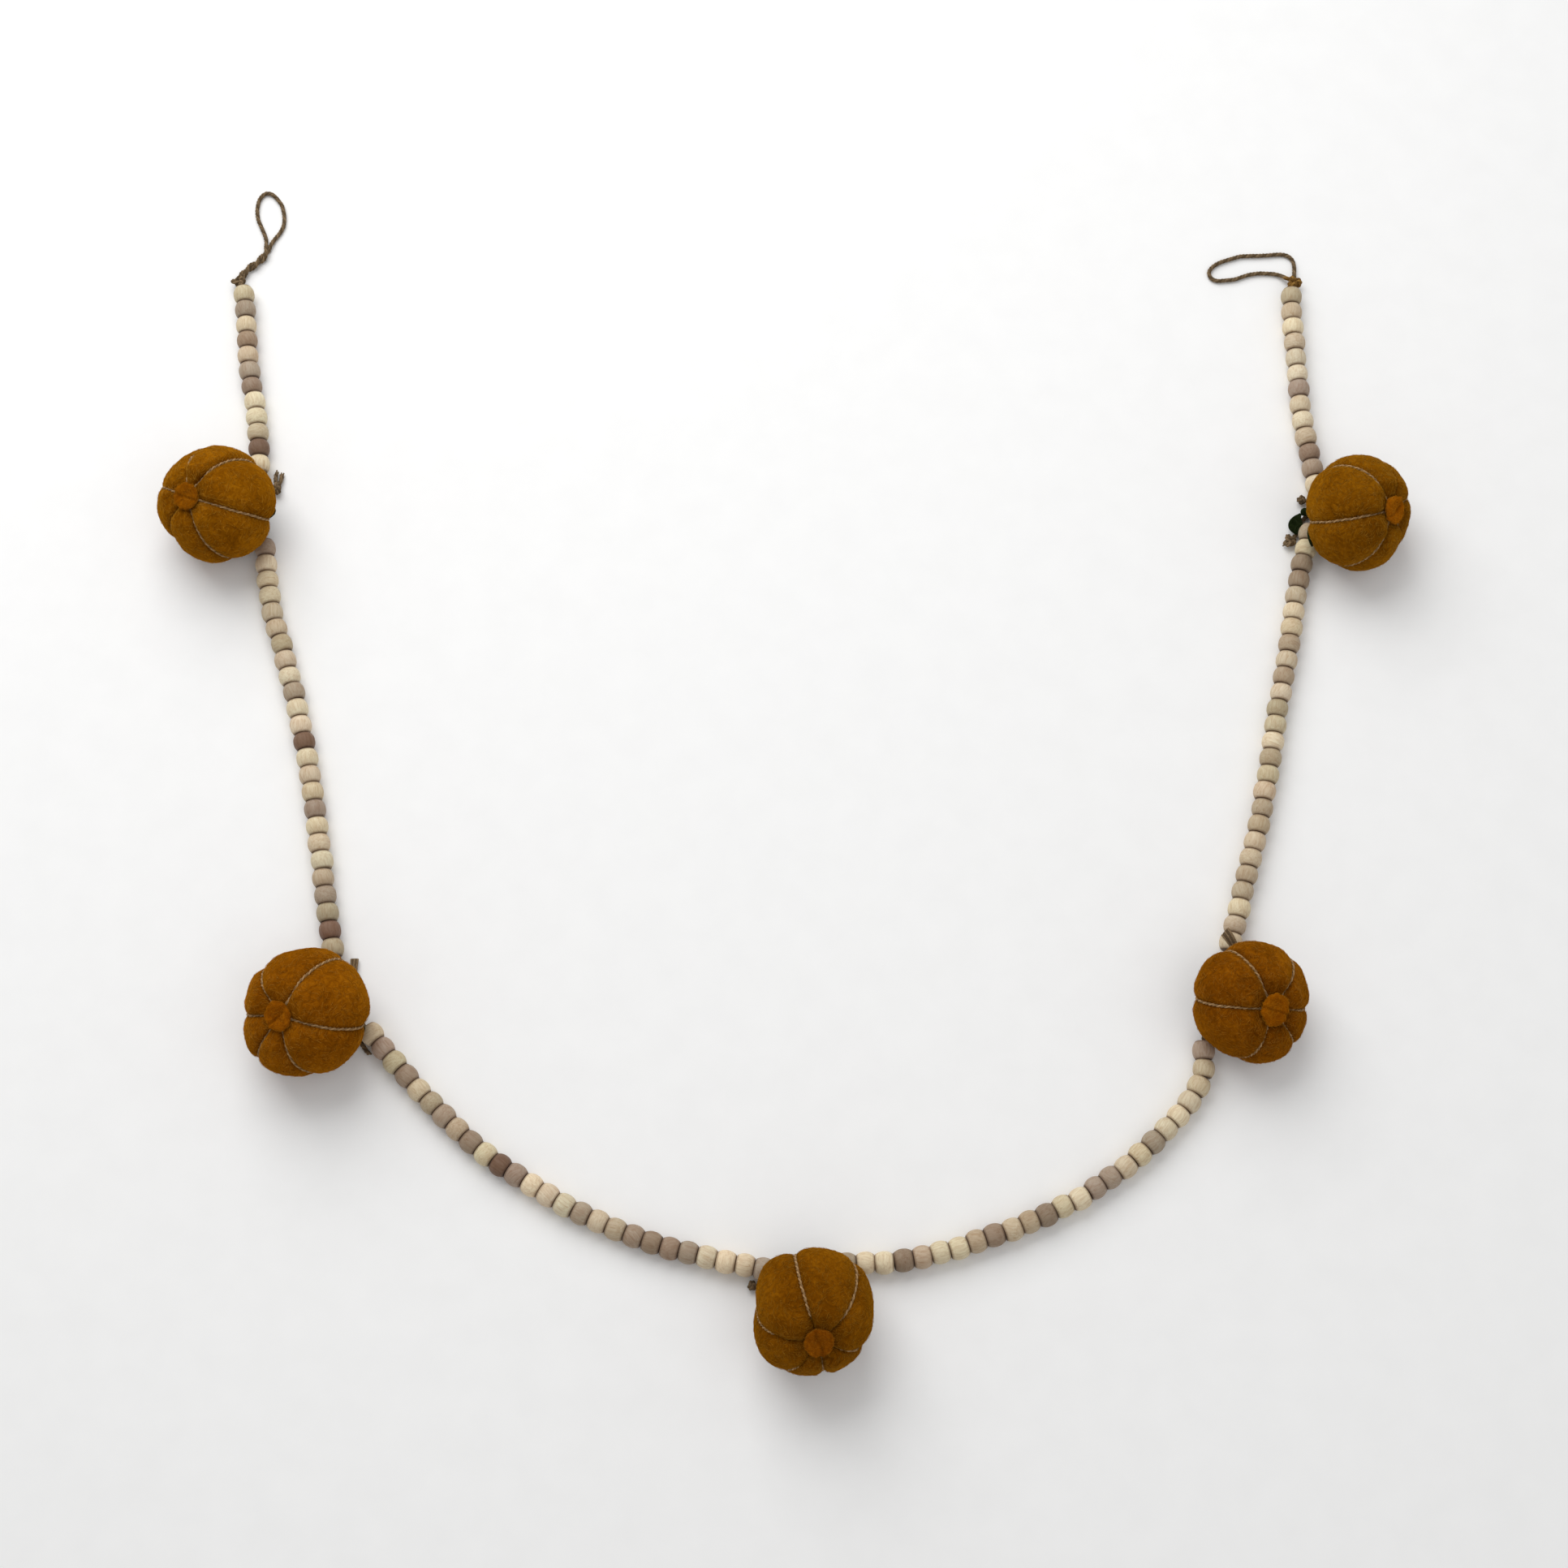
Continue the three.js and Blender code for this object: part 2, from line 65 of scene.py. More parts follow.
# The balls: the depth of a full groove and how far out it is full, the dimples at both ends, and the swell
# round the button. The coarse ball is the solid that the felt replaces.
LOBE = {"depth": 3.8, "full_at": 14, "dimple": 5, "dimple_width": 0.42, "bulge": 0.9}
COARSE = {"columns": 4, "rows": 10, "sharp": 1.4, "flat_spot": 0.7}
FELT = {"columns": 34, "rows": 120, "sharp": 2.5, "rise": 2.2, "rise_at": 0.43, "rise_width": 0.15,
        "fill": 0.9}
BUTTON = {"radius": 9.4, "thickness": 3.4, "columns": 84, "rows": 26, "ragged": 0.09, "crease_width": 1.3}
STEM = {"base": 2.8, "tip": 2.1, "flare": 0.8, "reach": 0.4}
LEAF = {"thickness": 1.5, "tip_share": 0.16, "from": 0.14, "lift": 0.65, "over_twine": 2.49, "sag": 0.6,
        "area_share": 0.66}
LOOP_STEM = {"offset": 1.36, "turns_per_mm": 0.055}

# The felt's relief: the size across and the height of its soft lumps, its matted surface, the gathers along
# a seam, and the same for a button. Painted shade darkens the wool near a seam, so far across the lobe, and
# near the hub.
RELIEF = {"lumps": (16, 0.9), "matting": (2.6, 0.22), "gathers": (6, 0.5), "button_lumps": (3.5, 0.4),
          "button_matting": (1.1, 0.13)}
CREASE_WIDTH = 1 / 16
SHADED = {"seam": 0.75, "seam_width": 1 / 18, "hub_width": 0.26, "button_crease": 0.35}

# Loose fibres: how many, and their length, half width and height above the surface.
BALL_FIBRES = {"count": 4600, "shape": (4.6, 0.08, 0.45)}
BUTTON_FIBRES = {"count": 700, "shape": (3.0, 0.05, 0.6)}
TWINE_FIBRES = {"count": 70, "shape": (2.6, 0.04, 0.7)}
CORD_FIBRES = {"loop": 420, "end": 60, "shape": (2.2, 0.035, 0.5)}

# Below this height soft parts are pressed up, so that none reaches through the ground.
PRESSED = 0.4

# The area lights: where each stands, its size and its power. Both look at the middle of the garland.
LIGHTS = {"key": ((-0.6, 1.3, 1.6), 1.9, 34), "fill": ((0.9, -0.6, 1.9), 1.8, 5)}
SKY_STRENGTH = 0.46
FLOOR = {"half": 6.0, "level": -0.0002}

# The hanging loops: the middle and half sizes of the knot, how it is turned, the seed of its fibres, the
# twisted stem of the left one, and the cord's route.
LOOP_LEFT = {
    "turn": 20, "seed": 31,
    "knot": [-379.6, 364.8, 5.4], "knot_size": [5.2, 4.2, 4.6],
    "stem": [[-379.2, 364.6, 4.8], [-378.4, 370, 3], [-374.9, 375.6, 2.75], [-369.3, 380.3, 2.75],
             [-364.4, 385.5, 2.75], [-361.9, 391.5, 2.6], [-361.4, 397, 2.2]],
    "loop": [[-363.4, 400, 1.7], [-366.1, 407.1, 1.5], [-369.8, 415.6, 1.5], [-371, 422.2, 1.5],
             [-370.6, 428.8, 1.5], [-369, 433.4, 1.5], [-366, 436.3, 1.5], [-362, 436.2, 1.5],
             [-357.7, 432.4, 1.5], [-353.9, 426.8, 1.5], [-352.1, 420.2, 1.5], [-351.5, 415, 1.5],
             [-352.3, 409.1, 1.5], [-354.9, 403.8, 1.5], [-358.1, 399, 1.7]],
}
LOOP_RIGHT = {
    "turn": 75, "seed": 32,
    "knot": [355.1, 364.3, 5.6], "knot_size": [5.2, 4.8, 4.6],
    "loop": [[355.4, 366, 5], [356.2, 373, 2.2], [356.7, 379, 1.5], [355.6, 383.9, 1.5], [352.7, 387, 1.5],
             [347.9, 388.3, 1.5], [340.9, 387.9, 1.5], [334.3, 387.4, 1.5], [326.7, 387.2, 1.5],
             [319, 386.7, 1.5], [311.9, 384.5, 1.5], [305.2, 382.1, 1.5], [299.6, 378.5, 1.5],
             [296.9, 374.2, 1.5], [298.1, 370, 1.5], [301.8, 367.8, 1.5], [307.2, 368, 1.5],
             [314.9, 369, 1.5], [322.6, 371.8, 1.5], [330.2, 373.4, 1.5], [337.8, 373.4, 1.5],
             [344.3, 372.4, 1.8], [350, 368.6, 4]],
}

# The strands: where the beads start on the route, how many there are, their spacing, and the route.
STRANDS = [
    {"start": 1.8, "beads": 12, "pitch": 11.81,
     "route": [[-376.3, 361], [-372.3, 335], [-368.4, 301], [-362.6, 272], [-357.9, 242], [-355.4, 205]]},
    {"start": 2.5, "beads": 25, "pitch": 11.8,
     "route": [[-350, 172], [-342.7, 125], [-326.3, 70], [-312.4, 15], [-302, -38], [-293.2, -90],
               [-283.8, -140]]},
    {"start": 1.4, "beads": 26, "pitch": 11.87,
     "route": [[-266.3, -163.3], [-229.2, -205], [-191, -241.2], [-154.1, -266.2], [-117.1, -286.2],
               [-80.1, -300.4], [-44.1, -309.7], [0, -318.7]]},
    {"start": 10.7, "beads": 25, "pitch": 11.73,
     "route": [[22, -313.6], [81, -309.7], [117.2, -299.7], [153.9, -286.7], [190.9, -268],
               [228.5, -239.6], [262.1, -200.3], [266, -171]]},
    {"start": 3.6, "beads": 26, "pitch": 11.66,
     "route": [[283.7, -118], [296.8, -72], [308.1, -32], [317.2, 8], [325.2, 48], [334.3, 89],
               [342.6, 131], [347.4, 153], [351, 166], [354.6, 178.5], [357.4, 190]]},
    {"start": 9.4, "beads": 13, "pitch": 11.86,
     "route": [[362.4, 195], [358.2, 228], [354.2, 257], [353, 286], [352.2, 316], [351.7, 346],
               [353.9, 375]]},
]

# Wood tones, and the beads that stand out: by tone, the strand and the beads on it, counted from its start.
WOOD_TONES = {
    "pale": (0.78, 0.68, 0.48), "cream": (0.66, 0.56, 0.38), "beige": (0.5, 0.41, 0.275),
    "rosy": (0.42, 0.33, 0.245), "tan": (0.335, 0.25, 0.17), "brown": (0.2, 0.118, 0.073),
}
COMMON_TONES = ["pale", "cream", "cream", "beige", "beige", "rosy"]
MARKED_BEADS = {
    "brown": {1: [10], 2: [12, 23], 3: [10]},
    "rosy": {6: [1]},
    "tan": {1: [3, 6], 3: [3, 8, 19, 20], 4: [3, 8, 11], 5: [22, 23], 6: [2]},
    "cream": {6: [3]},
    "pale": {1: [7], 2: [8, 10, 13, 17], 3: [12, 13, 14, 22, 23], 4: [1, 2, 5, 6, 19, 20, 21], 5: [12, 20],
             6: [0, 8, 10]},
}

# The pumpkins: the middle seen from above, how far the blossom end leans from straight up and towards
# which compass angle, the half width and half height, the stem's end, and the six laced grooves. A groove
# is its heading about the ball's axis, its depth as a share, between which angles from the blossom end the
# twine isn't buried in the felt, and how much lower than usual it lies. The cast is painted light and
# shade: it makes the whole of a pumpkin's wool lighter or darker, as the light falls across the garland.
PUMPKINS = [
    {"x": -377.9, "y": 184.3, "tilt": 27.6, "lean": 208, "radius": 39.0, "height": 35.2,
     "stem_end": [-360, 197, 2.8], "cast": (1.16, 1.08, 1.0),
     "laces": [(46, 0.9, 0, 2, 0), (89, 0.4, 0.1, 0.85, -0.1), (156, 0.5, 0.2, 0.7, -0.2),
               (220, 0.8, 0.5, 0.95, 0.5), (279, 1, 0, 2, 0), (339, 1, 0, 2, 0)]},
    {"x": -298.6, "y": -160.2, "tilt": 29.4, "lean": 214.4, "radius": 40.2, "height": 33.4,
     "stem_end": [-277.7, -149, 2.8], "cast": (1.14, 0.96, 1.0),
     "laces": [(56, 0.75, 0, 2, 0), (127, 0.9, 0, 2, 0), (178, 1, 0, 2, 0), (226, 1, 0, 2, 0),
               (275, 1, 0, 2, 0), (342, 1, 0, 2, 0)]},
    {"x": 17.6, "y": -344.6, "tilt": 39.8, "lean": 278.6, "radius": 37.2, "height": 36.8,
     "stem_end": [13.6, -313.8, 2.8], "cast": (0.86, 0.77, 0.8),
     "laces": [(45, 0.7, 0.42, 2, 0.2), (109, 1, 0.42, 2, 0), (178, 0.7, 0.75, 2, 0.6),
               (240, 0.4, 0.5, 1.1, 0.6), (280, 0.9, 0.1, 1.2, 0), (332, 0.7, 0.3, 0.95, 0.2)]},
    {"x": 292.8, "y": -152.7, "tilt": 33.5, "lean": 317, "radius": 38.4, "height": 28.4,
     "stem_end": [273.5, -137.6, 2.8], "cast": (0.98, 0.8, 0.9),
     "laces": [(-3, 0.9, 0, 2, 0), (52, 0.75, 0, 2, 0), (118, 1, 0, 2, 0), (181, 1, 0, 2, 0),
               (259, 0.65, 0, 2, 0.35), (316, 0.7, 0, 2, 0.3)]},
    {"x": 381.5, "y": 178.0, "tilt": 45.1, "lean": 341.4, "radius": 38.3, "height": 31.0,
     "stem_end": [351.2, 191.4, 5.5], "cast": (0.97, 0.93, 1.0),
     "laces": [(30, 0.7, 0, 2, 0), (81, 0.4, 0.1, 0.2, 0), (129, 1, 0, 2, 0.1), (200, 1, 0, 2, 0),
               (261, 0.8, 0, 2, 0.2), (321, 0.6, 0.1, 0.5, 0)]},
]

# The buttons: the size against the usual one, how far it is sunk in the felt, and its tone.
BUTTONS = [
    (0.98, 2.6, (1.05, 0.98, 1.0)), (0.98, 2.6, (1.1, 0.97, 1.0)), (0.98, 2.6, (0.9, 0.76, 1.0)),
    (1.05, 1.6, (1.28, 1.16, 1.0)), (1.0, 1.6, (1.25, 1.1, 1.0)),
]

# Where the stuffing presses a ball out or lets it fall in: the compass angle, by how much, and how
# narrow the swelling is.
SWELLINGS = [
    [(132, -4.2, 6), (225, -2.0, 6), (350, 0.7, 8), (25, 1.0, 8), (310, 1.8, 8)],
    [(225, 3.4, 6), (5, 0.6, 6), (52, 2.0, 8), (100, -0.9, 8)],
    [(225, 3.2, 6), (45, 2.2, 10), (163, -2.4, 8), (5, -1.0, 8), (138, 3.4, 10)],
    [(300, 2.8, 6), (170, 1.0, 6), (238, -2.6, 8), (130, 1.2, 8), (45, 0.8, 8), (65, -0.8, 10)],
    [(45, 1.6, 6), (125, 1.2, 6), (240, 1.4, 8), (100, -1.4, 10), (340, -1.8, 8)],
]

# The leaves that lie against a ball: the heading about the ball's axis, how far up the ball in radians from
# the stem's pole, and the width. The last one, 5b, is folded in two.
LEAVES = {
    "1a": (350, 0.755, 13), "1b": (65, 0.74, 14), "2a": (330, 0.74, 14), "2b": (100, 0.7, 14),
    "3a": (40, 0.74, 14), "3b": (140, 0.74, 14), "4a": (100, 0.78, 14), "4b": (200, 0.74, 14),
    "5a": (232, 0.8, 12),
}
LOOSE_LEAF = {
    "midline": [[349.2, 189.4, 5.6], [346.6, 185.8, 5.2], [345.4, 181.2, 4.9], [346.4, 175.4, 4.6]],
    "width": 9.2, "opening": 0.8, "fold": 0.12, "half_thickness": 0.36,
}

# The cord past each pumpkin: the points that it passes near the stem, its knots, and its loose ends, each
# from where it starts. Yarns says how far an end that has come apart fans out.
TIES = [
    {"via": [[-347, 209, 3.8], [-351, 200, 2], [-354, 190.5, 1.7], [-352.2, 182, 2.6]],
     "knots": [([-344.5, 209, 4], [3.6, 4.4, 3.4])],
     "ends": [[[-344.5, 209, 4], [-345.6, 216, 3], [-345.6, 222, 2]],
              [[-344.5, 209, 4], [-342.5, 214, 3], [-341.4, 220.6, 1.8]]]},
    {"via": [[-276, -132, 3], [-275.6, -148, 1.8]],
     "knots": [([-275, -131, 3.6], [3.4, 3.8, 3.2])],
     "yarns": [2.0, 0],
     "ends": [[[-275, -131, 3.6], [-275.4, -125, 3], [-275.5, -118.5, 1.8]],
              [[-275.6, -148, 1.8], [-274, -161, 1.5], [-270, -170.6, 1.5], [-265.2, -178, 1.5],
               [-262, -181, 1.5]]]},
    {"via": [[3, -316, 4], [13, -311, 1.8], [23, -311, 3]],
     "knots": [([2.5, -320, 3.4], [3.4, 3.6, 3]), ([-19.6, -325.6, 3.2], [3, 3.2, 3])],
     "ends": [[[2.5, -320, 3.4], [-6, -327, 2], [-19.6, -325.6, 3.2]]]},
    {"via": [[268.6, -156, 2], [270.5, -140, 1.7], [273.4, -129, 2.6]],
     "knots": [([275, -125, 3.6], [3.2, 3.6, 3])],
     "yarns": [3.2],
     "ends": [[[275, -125, 3.6], [284.5, -120, 9], [286.5, -113.5, 14.2], [284, -108, 16.2],
               [281.6, -103.6, 15]]]},
    {"via": [[359, 189, 4], [361, 193, 2.2], [362.2, 198, 3.4]],
     "knots": [([341, 170.6, 4], [4.2, 5.0, 3.7]), ([350.6, 200.7, 3.8], [3.1, 3.2, 2.9])],
     "ends": [[[341, 170.6, 4], [346.4, 176.8, 1.5], [348.2, 182, 1.5], [351, 187, 1.5], [361, 193, 2.2]],
              [[341, 170.6, 4], [337, 168.4, 2.6]],
              [[362.2, 198, 3.4], [356.4, 200.2, 2.6], [350.6, 200.7, 3.8]]]},
]


def metres(points):
    """Layout millimetres to metres in the frame."""
    return (np.asarray(points, float) - FRAME_ORIGIN) * MM


def unit(vectors):
    """The vectors, each one long."""
    return vectors / np.maximum(np.linalg.norm(vectors, axis=-1, keepdims=True), 1e-12)


def hump(x, width):
    """One where x is nothing, falling away on both sides."""
    return np.exp(-((x / width) ** 2))


def compass(angle):
    """The level direction at an angle in radians."""
    return np.array([math.cos(angle), math.sin(angle), 0])


def soft_noise(points, size, seed=0.0):
    """Smooth noise from about -1 to 1 whose lumps are about size across."""
    shifted = np.asarray(points, float) / size + np.array([seed * 17.3, seed * 5.1, seed * 9.7])
    return np.array([noise.noise(Vector(p)) for p in shifted])


def pressed(points):
    """Soft parts give way to the ground: what would reach through it is pressed up onto it."""
    points = points.copy()
    deep = np.maximum(PRESSED - points[:, 2], 0)
    points[:, 2] += deep - PRESSED * deep / (deep + PRESSED)
    return points


class Shape:
    """The points and faces of one piece, gathered part by part, with named values at the points."""

    def __init__(self):
        self.points = []
        self.faces = []
        self.values = {}
        self.count = 0

    def add(self, points, faces, **values):
        """Adds a closed part and turns its faces outwards. A face list is an array with a row a face. A value
        is given for each point, or once for all."""
        points = np.asarray(points, float).reshape(-1, 3)
        about = points - points.mean(axis=0)
        volume = 0.0
        for rows in faces:
            for k in range(1, rows.shape[1] - 1):
                a, b, c = about[rows[:, 0]], about[rows[:, k]], about[rows[:, k + 1]]
                volume += np.einsum("ij,ij->", a, np.cross(b, c))
        for rows in faces:
            self.faces.append((rows if volume > 0 else rows[:, ::-1]) + self.count)
        self.points.append(points)
        for name, value in values.items():
            value = np.asarray(value, np.float32)
            if value.shape[:1] != (len(points),):
                value = np.broadcast_to(value, (len(points),) + value.shape)
            self.values.setdefault(name, []).append(value)
        self.count += len(points)

    def build(self, name, material, slot, nodes=()):
        """Makes the piece, which rides on the root and stands for the nodes."""
        points = np.concatenate(self.points)
        if slot != "wood":
            points = pressed(points)
        points = metres(points).astype(np.float32)
        sizes = np.concatenate([np.full(len(rows), rows.shape[1]) for rows in self.faces])
        corners = np.concatenate([rows.ravel() for rows in self.faces]).astype(np.int32)
        starts = np.concatenate([[0], np.cumsum(sizes)[:-1]]).astype(np.int32)
        mesh = bpy.data.meshes.new(name)
        mesh.vertices.add(len(points))
        mesh.vertices.foreach_set("co", points.ravel())
        mesh.loops.add(len(corners))
        mesh.loops.foreach_set("vertex_index", corners)
        mesh.polygons.add(len(sizes))
        mesh.polygons.foreach_set("loop_start", starts)
        mesh.update(calc_edges=True)
        mesh.validate()
        mesh.shade_smooth()
        for title, parts in self.values.items():
            value = np.concatenate(parts)
            kind = "FLOAT_VECTOR" if value.ndim == 2 else "FLOAT"
            layer = mesh.attributes.new(title, kind, "POINT")
            layer.data.foreach_set("vector" if value.ndim == 2 else "value", value.ravel())
        piece = bpy.data.objects.new(name, mesh)
        bpy.context.scene.collection.objects.link(piece)
        mesh.materials.append(material)
        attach(piece, "root")
        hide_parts(*nodes)
        return piece


def grid_faces(rows, columns, rejoin=False):
    """Quads between rings of points stored ring after ring, and from the last back to the first to rejoin."""
    r, c = np.meshgrid(np.arange(rows if rejoin else rows - 1), np.arange(columns), indexing="ij")
    here, after = c.ravel(), (c.ravel() + 1) % columns
    base = r.ravel() * columns
    beyond = (base + columns) % (rows * columns)
    return np.stack([base + here, base + after, beyond + after, beyond + here], 1)


def capped(rings):
    """A closed part from rings of points, with a fan over each end."""
    rings = np.asarray(rings, float)
    rows, columns = rings.shape[:2]
    points = np.concatenate([rings.reshape(-1, 3), rings[:1].mean(axis=1), rings[-1:].mean(axis=1)])
    c = np.arange(columns)
    after = (c + 1) % columns
    first, last = rows * columns, rows * columns + 1
    base = (rows - 1) * columns
    fans = np.concatenate([
        np.stack([np.full(columns, first), after, c], 1),
        np.stack([np.full(columns, last), base + c, base + after], 1),
    ])
    return points, [grid_faces(rows, columns), fans]


def curve_through(points, step=0.5):
    """A centripetal Catmull-Rom curve through the points, sampled evenly."""
    p = np.asarray(points, float)
    p = np.vstack([2 * p[0] - p[1], p, 2 * p[-1] - p[-2]])
    t = np.linspace(0, 1, 60, endpoint=False)[:, None]
    pieces = []
    for i in range(1, len(p) - 2):
        a, b, c, d = p[i - 1:i + 3]
        before, here, after = (math.sqrt(np.linalg.norm(v)) for v in (b - a, c - b, d - c))
        leave = ((b - a) / before - (c - a) / (before + here) + (c - b) / here) * here
        reach = ((c - b) / here - (d - b) / (here + after) + (d - c) / after) * here
        pieces.append((2 * t**3 - 3 * t**2 + 1) * b + (t**3 - 2 * t**2 + t) * leave
                      + (3 * t**2 - 2 * t**3) * c + (t**3 - t**2) * reach)
    pieces.append(p[-2:-1])
    return evenly(np.vstack(pieces), step)


def distances(line):
    """How far along the line each of its points is."""
    return np.concatenate([[0], np.cumsum(np.linalg.norm(np.diff(line, axis=0), axis=1))])


def at_distance(line, along):
    """The points of a line at the given distances from its start."""
    measured = distances(line)
    return np.stack([np.interp(along, measured, line[:, k]) for k in range(line.shape[1])], axis=-1)


def evenly(line, step):
    """The line with its points about a step apart."""
    length = distances(line)[-1]
    return at_distance(line, np.linspace(0, length, max(3, round(length / step) + 1)))


def frames_along(line):
    """The line's directions, and two normals that turn as little as they can."""
    tangents = unit(np.gradient(line, axis=0))
    side = np.cross(tangents[0], [0, 0, 1])
    if np.linalg.norm(side) < 0.1:
        side = np.cross(tangents[0], [1, 0, 0])
    sides = []
    for tangent in tangents:
        side = unit(side - tangent * np.dot(side, tangent))
        sides.append(side)
    sides = np.array(sides)
    return tangents, sides, np.cross(sides, tangents)


def tube(shape, line, radius, sides=8, **values):
    """A round bar along a line, with softly rounded ends. The radius may change along it."""
    tangents, side, up = frames_along(line)
    radius = np.broadcast_to(np.asarray(radius, float), (len(line),))
    reach, narrowed = 0.45, 0.62
    first = line[0] - tangents[0] * radius[0] * reach
    last = line[-1] + tangents[-1] * radius[-1] * reach
    line = np.vstack([first, line, last])
    radius = np.concatenate([[radius[0] * narrowed], radius, [radius[-1] * narrowed]])
    side = np.vstack([side[:1], side, side[-1:]])
    up = np.vstack([up[:1], up, up[-1:]])
    angle = 2 * np.pi * np.arange(sides) / sides
    circle = np.cos(angle)[None, :, None] * side[:, None] + np.sin(angle)[None, :, None] * up[:, None]
    points, faces = capped(line[:, None] + circle * radius[:, None, None])
    shape.add(points, faces, **values)


def twist(shape, line, radius, plies, lay, sides=7, phase=0.0, **values):
    """Twisted cord along a line: its plies wind about each other, once every lay."""
    _, side, up = frames_along(line)
    along = distances(line)
    offset = radius * (0.5 if plies > 2 else 0.46)
    ply = radius - offset
    for k in range(plies):
        turn = 2 * np.pi * (along / lay + k / plies + phase)
        strand = line + offset * (np.cos(turn)[:, None] * side + np.sin(turn)[:, None] * up)
        swell = 1.06 + 0.06 * np.sin(along * 1.7 + 2 * k + phase)
        tube(shape, strand, ply * swell, sides, tone=k / (plies - 1), **values)


def fibres(shape, roots, normals, size, rng, **values):
    """Loose fibres that lie on a surface in swirls, each a thin closed spindle with a bend in it. The size is
    their length, half width and height above the surface."""
    length, width, lift = size
    count = len(roots)
    flow = np.stack([soft_noise(roots, 11, k) for k in (1, 2, 3)], axis=1)
    along = unit(np.cross(normals, 2.2 * flow + 0.4 * rng.normal(size=(count, 3))))
    across = np.cross(normals, along)
    long = (length * rng.uniform(0.5, 1.4, count))[:, None]
    bend = (rng.uniform(-0.35, 0.35, count))[:, None]
    up = (lift * rng.uniform(0.1, 1.0, count))[:, None]
    stations = [
        roots - along * long * 0.5 - normals * 0.05,
        roots - along * long * 0.17 + across * long * bend * 0.5 + normals * up * 0.6,
        roots + along * long * 0.17 + across * long * bend * 0.5 + normals * up,
        roots + along * long * 0.5 + normals * up * rng.uniform(0.2, 1.6, (count, 1)),
    ]
    corners = [(0.0, 1.0), (0.87, -0.5), (-0.87, -0.5)]
    points = [stations[0]]
    for station in stations[1:3]:
        points += [station + width * (a * across + b * normals) for a, b in corners]
    points.append(stations[3])
    points = np.stack(points, axis=1)
    triangles = np.array([[0, 2, 1], [0, 3, 2], [0, 1, 3], [7, 4, 5], [7, 5, 6], [7, 6, 4]])
    quads = np.array([[1, 2, 5, 4], [2, 3, 6, 5], [3, 1, 4, 6]])
    offsets = 8 * np.arange(count)[:, None, None]
    faces = [(triangles + offsets).reshape(-1, 3), (quads + offsets).reshape(-1, 4)]
    shape.add(points, faces, **values)


class Finish:
    """A short way to write a material's nodes."""

    def __init__(self, name):
        self.material = bpy.data.materials.new(name)
        self.material.use_nodes = True
        self.tree = self.material.node_tree
        self.tree.nodes.clear()
        self.surface = self.node("ShaderNodeBsdfPrincipled")
        output = self.node("ShaderNodeOutputMaterial")
        self.tree.links.new(self.surface.outputs[0], output.inputs["Surface"])

    def fill(self, node, sockets):
        """Links or sets each named socket."""
        for name, value in sockets.items():
            if isinstance(value, bpy.types.NodeSocket):
                self.tree.links.new(value, node.inputs[name])
            else:
                node.inputs[name].default_value = value

    def node(self, kind, sockets=None, **settings):
        node = self.tree.nodes.new(kind)
        for name, value in settings.items():
            setattr(node, name, value)
        self.fill(node, sockets or {})
        return node

    def place(self, scale=(1.0, 1.0, 1.0), attribute=None):
        """The surface's own coordinates, or a named value, stretched."""
        if attribute:
            source = self.value(attribute, "Vector")
        else:
            source = self.node("ShaderNodeTexCoord").outputs["Object"]
        return self.node("ShaderNodeMapping", {"Vector": source, "Scale": scale}).outputs[0]

    def value(self, attribute, output="Fac"):
        return self.node("ShaderNodeAttribute", attribute_name=attribute).outputs[output]

    def noise(self, vector, scale, detail=3.0, roughness=0.5, distortion=0.0, kind="FBM"):
        sockets = {"Vector": vector, "Scale": scale, "Detail": detail, "Roughness": roughness,
                   "Distortion": distortion}
        return self.node("ShaderNodeTexNoise", sockets, noise_type=kind).outputs["Fac"]

    def ramp(self, fac, stops):
        node = self.node("ShaderNodeValToRGB", {"Fac": fac})
        elements = node.color_ramp.elements
        while len(elements) < len(stops):
            elements.new(0.5)
        for element, (position, colour) in zip(elements, stops):
            element.position = position
            element.color = (*colour, 1)
        return node.outputs[0]

    def span(self, fac, low, high, to_low, to_high):
        sockets = {"Value": fac, "From Min": low, "From Max": high, "To Min": to_low, "To Max": to_high}
        return self.node("ShaderNodeMapRange", sockets).outputs[0]

    def math(self, operation, a, b):
        return self.node("ShaderNodeMath", {0: a, 1: b}, operation=operation).outputs[0]

    def mix(self, fac, a, b, blend="MIX"):
        """Mixes a socket's colour with another's, or with a plain one."""
        b = b if isinstance(b, bpy.types.NodeSocket) else (*b, 1)
        node = self.node("ShaderNodeMix", {"Factor": fac, "A": a, "B": b}, data_type="RGBA", blend_type=blend)
        return node.outputs["Result"]

    def bump(self, height, strength, distance, **normal):
        sockets = {"Height": height, "Strength": strength, "Distance": distance, **normal}
        return self.node("ShaderNodeBump", sockets).outputs[0]

    def done(self, colour, roughness, normal, sheen, specular, tint=(1, 1, 1)):
        self.fill(self.surface, {
            "Base Color": colour, "Roughness": roughness, "Normal": normal, "Specular IOR Level": specular,
            "Sheen Weight": sheen, "Sheen Roughness": 0.45, "Sheen Tint": (*tint, 1),
        })
        return self.material


